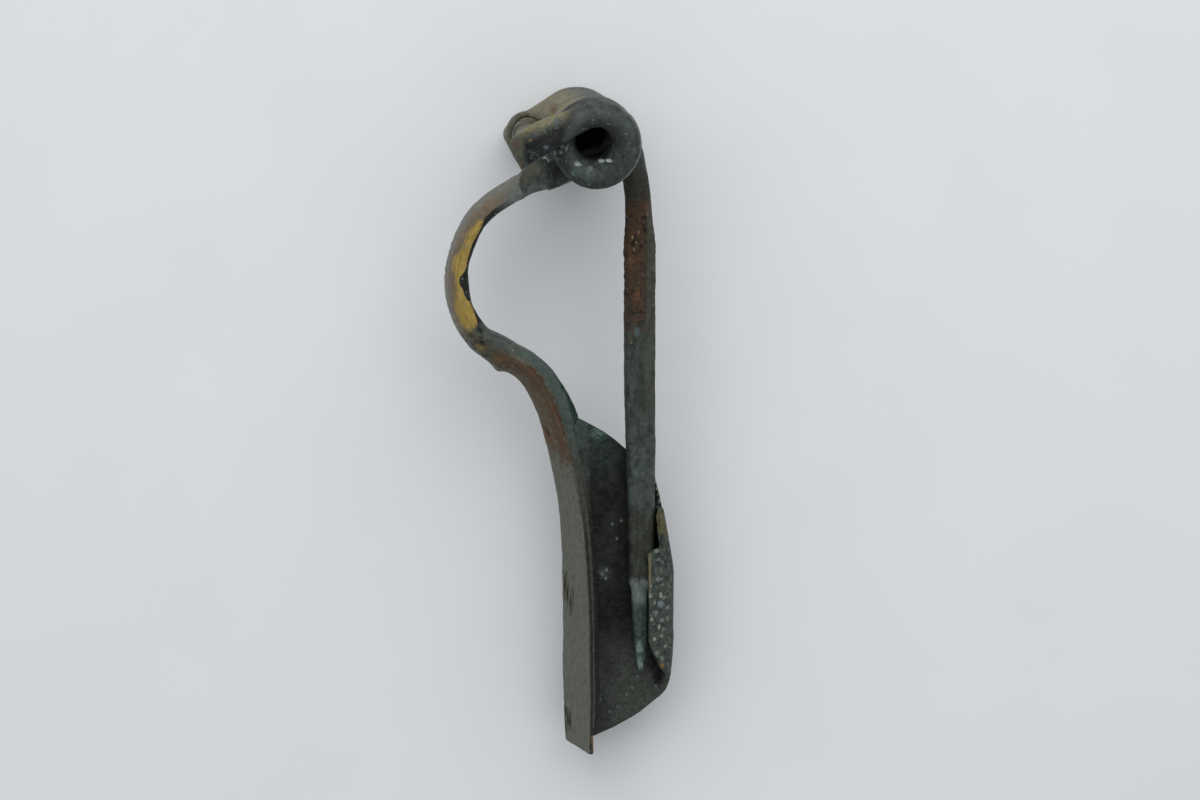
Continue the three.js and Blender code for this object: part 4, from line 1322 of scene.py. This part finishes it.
# %% The pin's finish: grey blade and teal tip
skin.lay(y.between(-41.5, -31, 2.0, 1.5) * skin.wander.above(0.5, 0.08), "#3d4644 #48524f")
skin.dab("#455553", (0.5, 0.6, 2), (5.2, -21.2, 3), (5.1, -36.6, 3))
skin.lay(y.between(-48, -41, 1.2, 1.6), "#272920 #312d23")
streaks = skin.noise(1.0, 4, skin.stretched((1.7, 0.45, 1.7)))
skin.lay(streaks.above(0.54, 0.12) * y.below(-22, 2) * 0.6, "#465049 #3b443f")
skin.lay(streaks.below(0.44, 0.12) * y.below(-14, 2) * 0.6, "#1e221e #272a25")
skin.lay(y.between(-51.9, -48.3, 0.3, 0.8) * streaks.above(0.44, 0.1), "#6d7a77 #5a6663")
skin.lay(y.below(-51.2, 0.6, 0.8), "#2a3632 #41504b")
skin.dab("#6e807c", (0.5, 0.9, 2), (5.7, -56, 3), (5.7, -57.8, 3))
skin.worn_edges_and_hollow_shade("#6a6d62", 0.35, 0.2)
skin.flecks(2.0, 0.67, "#555d57", 0.5)
pin.data.materials.append(skin.done(0.12))

# %% [markdown]
# ## How the pieces move
#
# Everything but the near half of the spring and the pin is one rigid piece of metal, tied to the bow's
# body. The near turns bend away from the chord, and the pin's neck twists between the spring and the
# blade; here both only have their placing baked into their corners.

# %% Tie the rigid pieces to the bow's body
for piece, nodes, slot in (
        (bow, ("head_plate", "bow_arch", "bow_crest", "foot"), "olive_bronze"),
        (plate, ("catchplate", "catch_fold"), "dark_patina"),
        (far_wire, ("coils_far", "chord"), "coil_patina"),
        (near_wire, ("coils_near",), "coil_patina"),
        (pin, ("pin",), "brown_pin"),
        (hook, ("chord_hook",), "grey_patina"),
        (earth_plug, (), "dark_patina")):
    if nodes:
        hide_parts(*nodes)
for piece in (bow, plate, far_wire, hook, earth_plug):
    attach(piece, "bow")
laid_down @ near_band.at(split_length)
laid_down @ near_band.at(0.4)
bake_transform(near_wire)
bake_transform(pin)
print(len(pieces), "pieces are tied to their bodies")

# %% [markdown]
# ## Paper and light
#
# The brooch lies on white paper. Paper is matt and nearly even, so a large plane with a faint grain is
# enough, and its edges are out of sight.

# %% The paper
bpy.ops.object.select_all(action="DESELECT")
bpy.ops.mesh.primitive_plane_add(size=3, location=(0, 0, 0))
paper = bpy.context.object
paper.name = "paper"
paper_material = bpy.data.materials.new("matt_white_paper")
paper_material.use_nodes = True
paper_tree = paper_material.node_tree
paper_tree.nodes.clear()
paper_place = add(paper_tree, "ShaderNodeTexCoord").outputs["Object"]
fibres = add(paper_tree, "ShaderNodeTexNoise", {"Vector": paper_place, "Scale": 60.0, "Detail": 6.0})
paper_colour = add(paper_tree, "ShaderNodeMix", {
    "Factor": fibres, "A": metal_colour("#e2e5e7"), "B": metal_colour("#eaecee")}, data_type="RGBA")
paper_shader = add(paper_tree, "ShaderNodeBsdfPrincipled", {"Base Color": paper_colour, "Roughness": 0.9})
add(paper_tree, "ShaderNodeOutputMaterial", {"Surface": paper_shader})
paper.data.materials.append(paper_material)
print("the paper measures, m:", tuple(round(side, 2) for side in paper.dimensions))

# %% [markdown]
# The light is broad and soft, from above and from beyond the brooch's head. The lamp is large and near,
# so that shadows stay soft and the paper is a little brighter at the head. The room's light fills in
# from all sides.

# %% The lamps and the sky
def lamp(name, place, size, power):
    bpy.ops.object.select_all(action="DESELECT")
    bpy.ops.object.light_add(type="AREA", location=place)
    made = bpy.context.object
    made.name, made.data.size, made.data.energy = name, size, power
    made.rotation_euler = (Vector((0, 0, 0)) - Vector(place)).to_track_quat("-Z", "Y").to_euler()
    return made


lamp("window", (0.01, 0.185, 0.27), 0.4, 0.62)
world = bpy.data.worlds.new("soft_room")
bpy.context.scene.world = world
world.use_nodes = True
world.node_tree.nodes["Background"].inputs["Color"].default_value = metal_colour("#f2f4f6")
world.node_tree.nodes["Background"].inputs["Strength"].default_value = 0.6
bpy.context.scene.view_settings.view_transform = "Standard"
print("lamps:", [light.name for light in bpy.data.lights])

# %% [markdown]
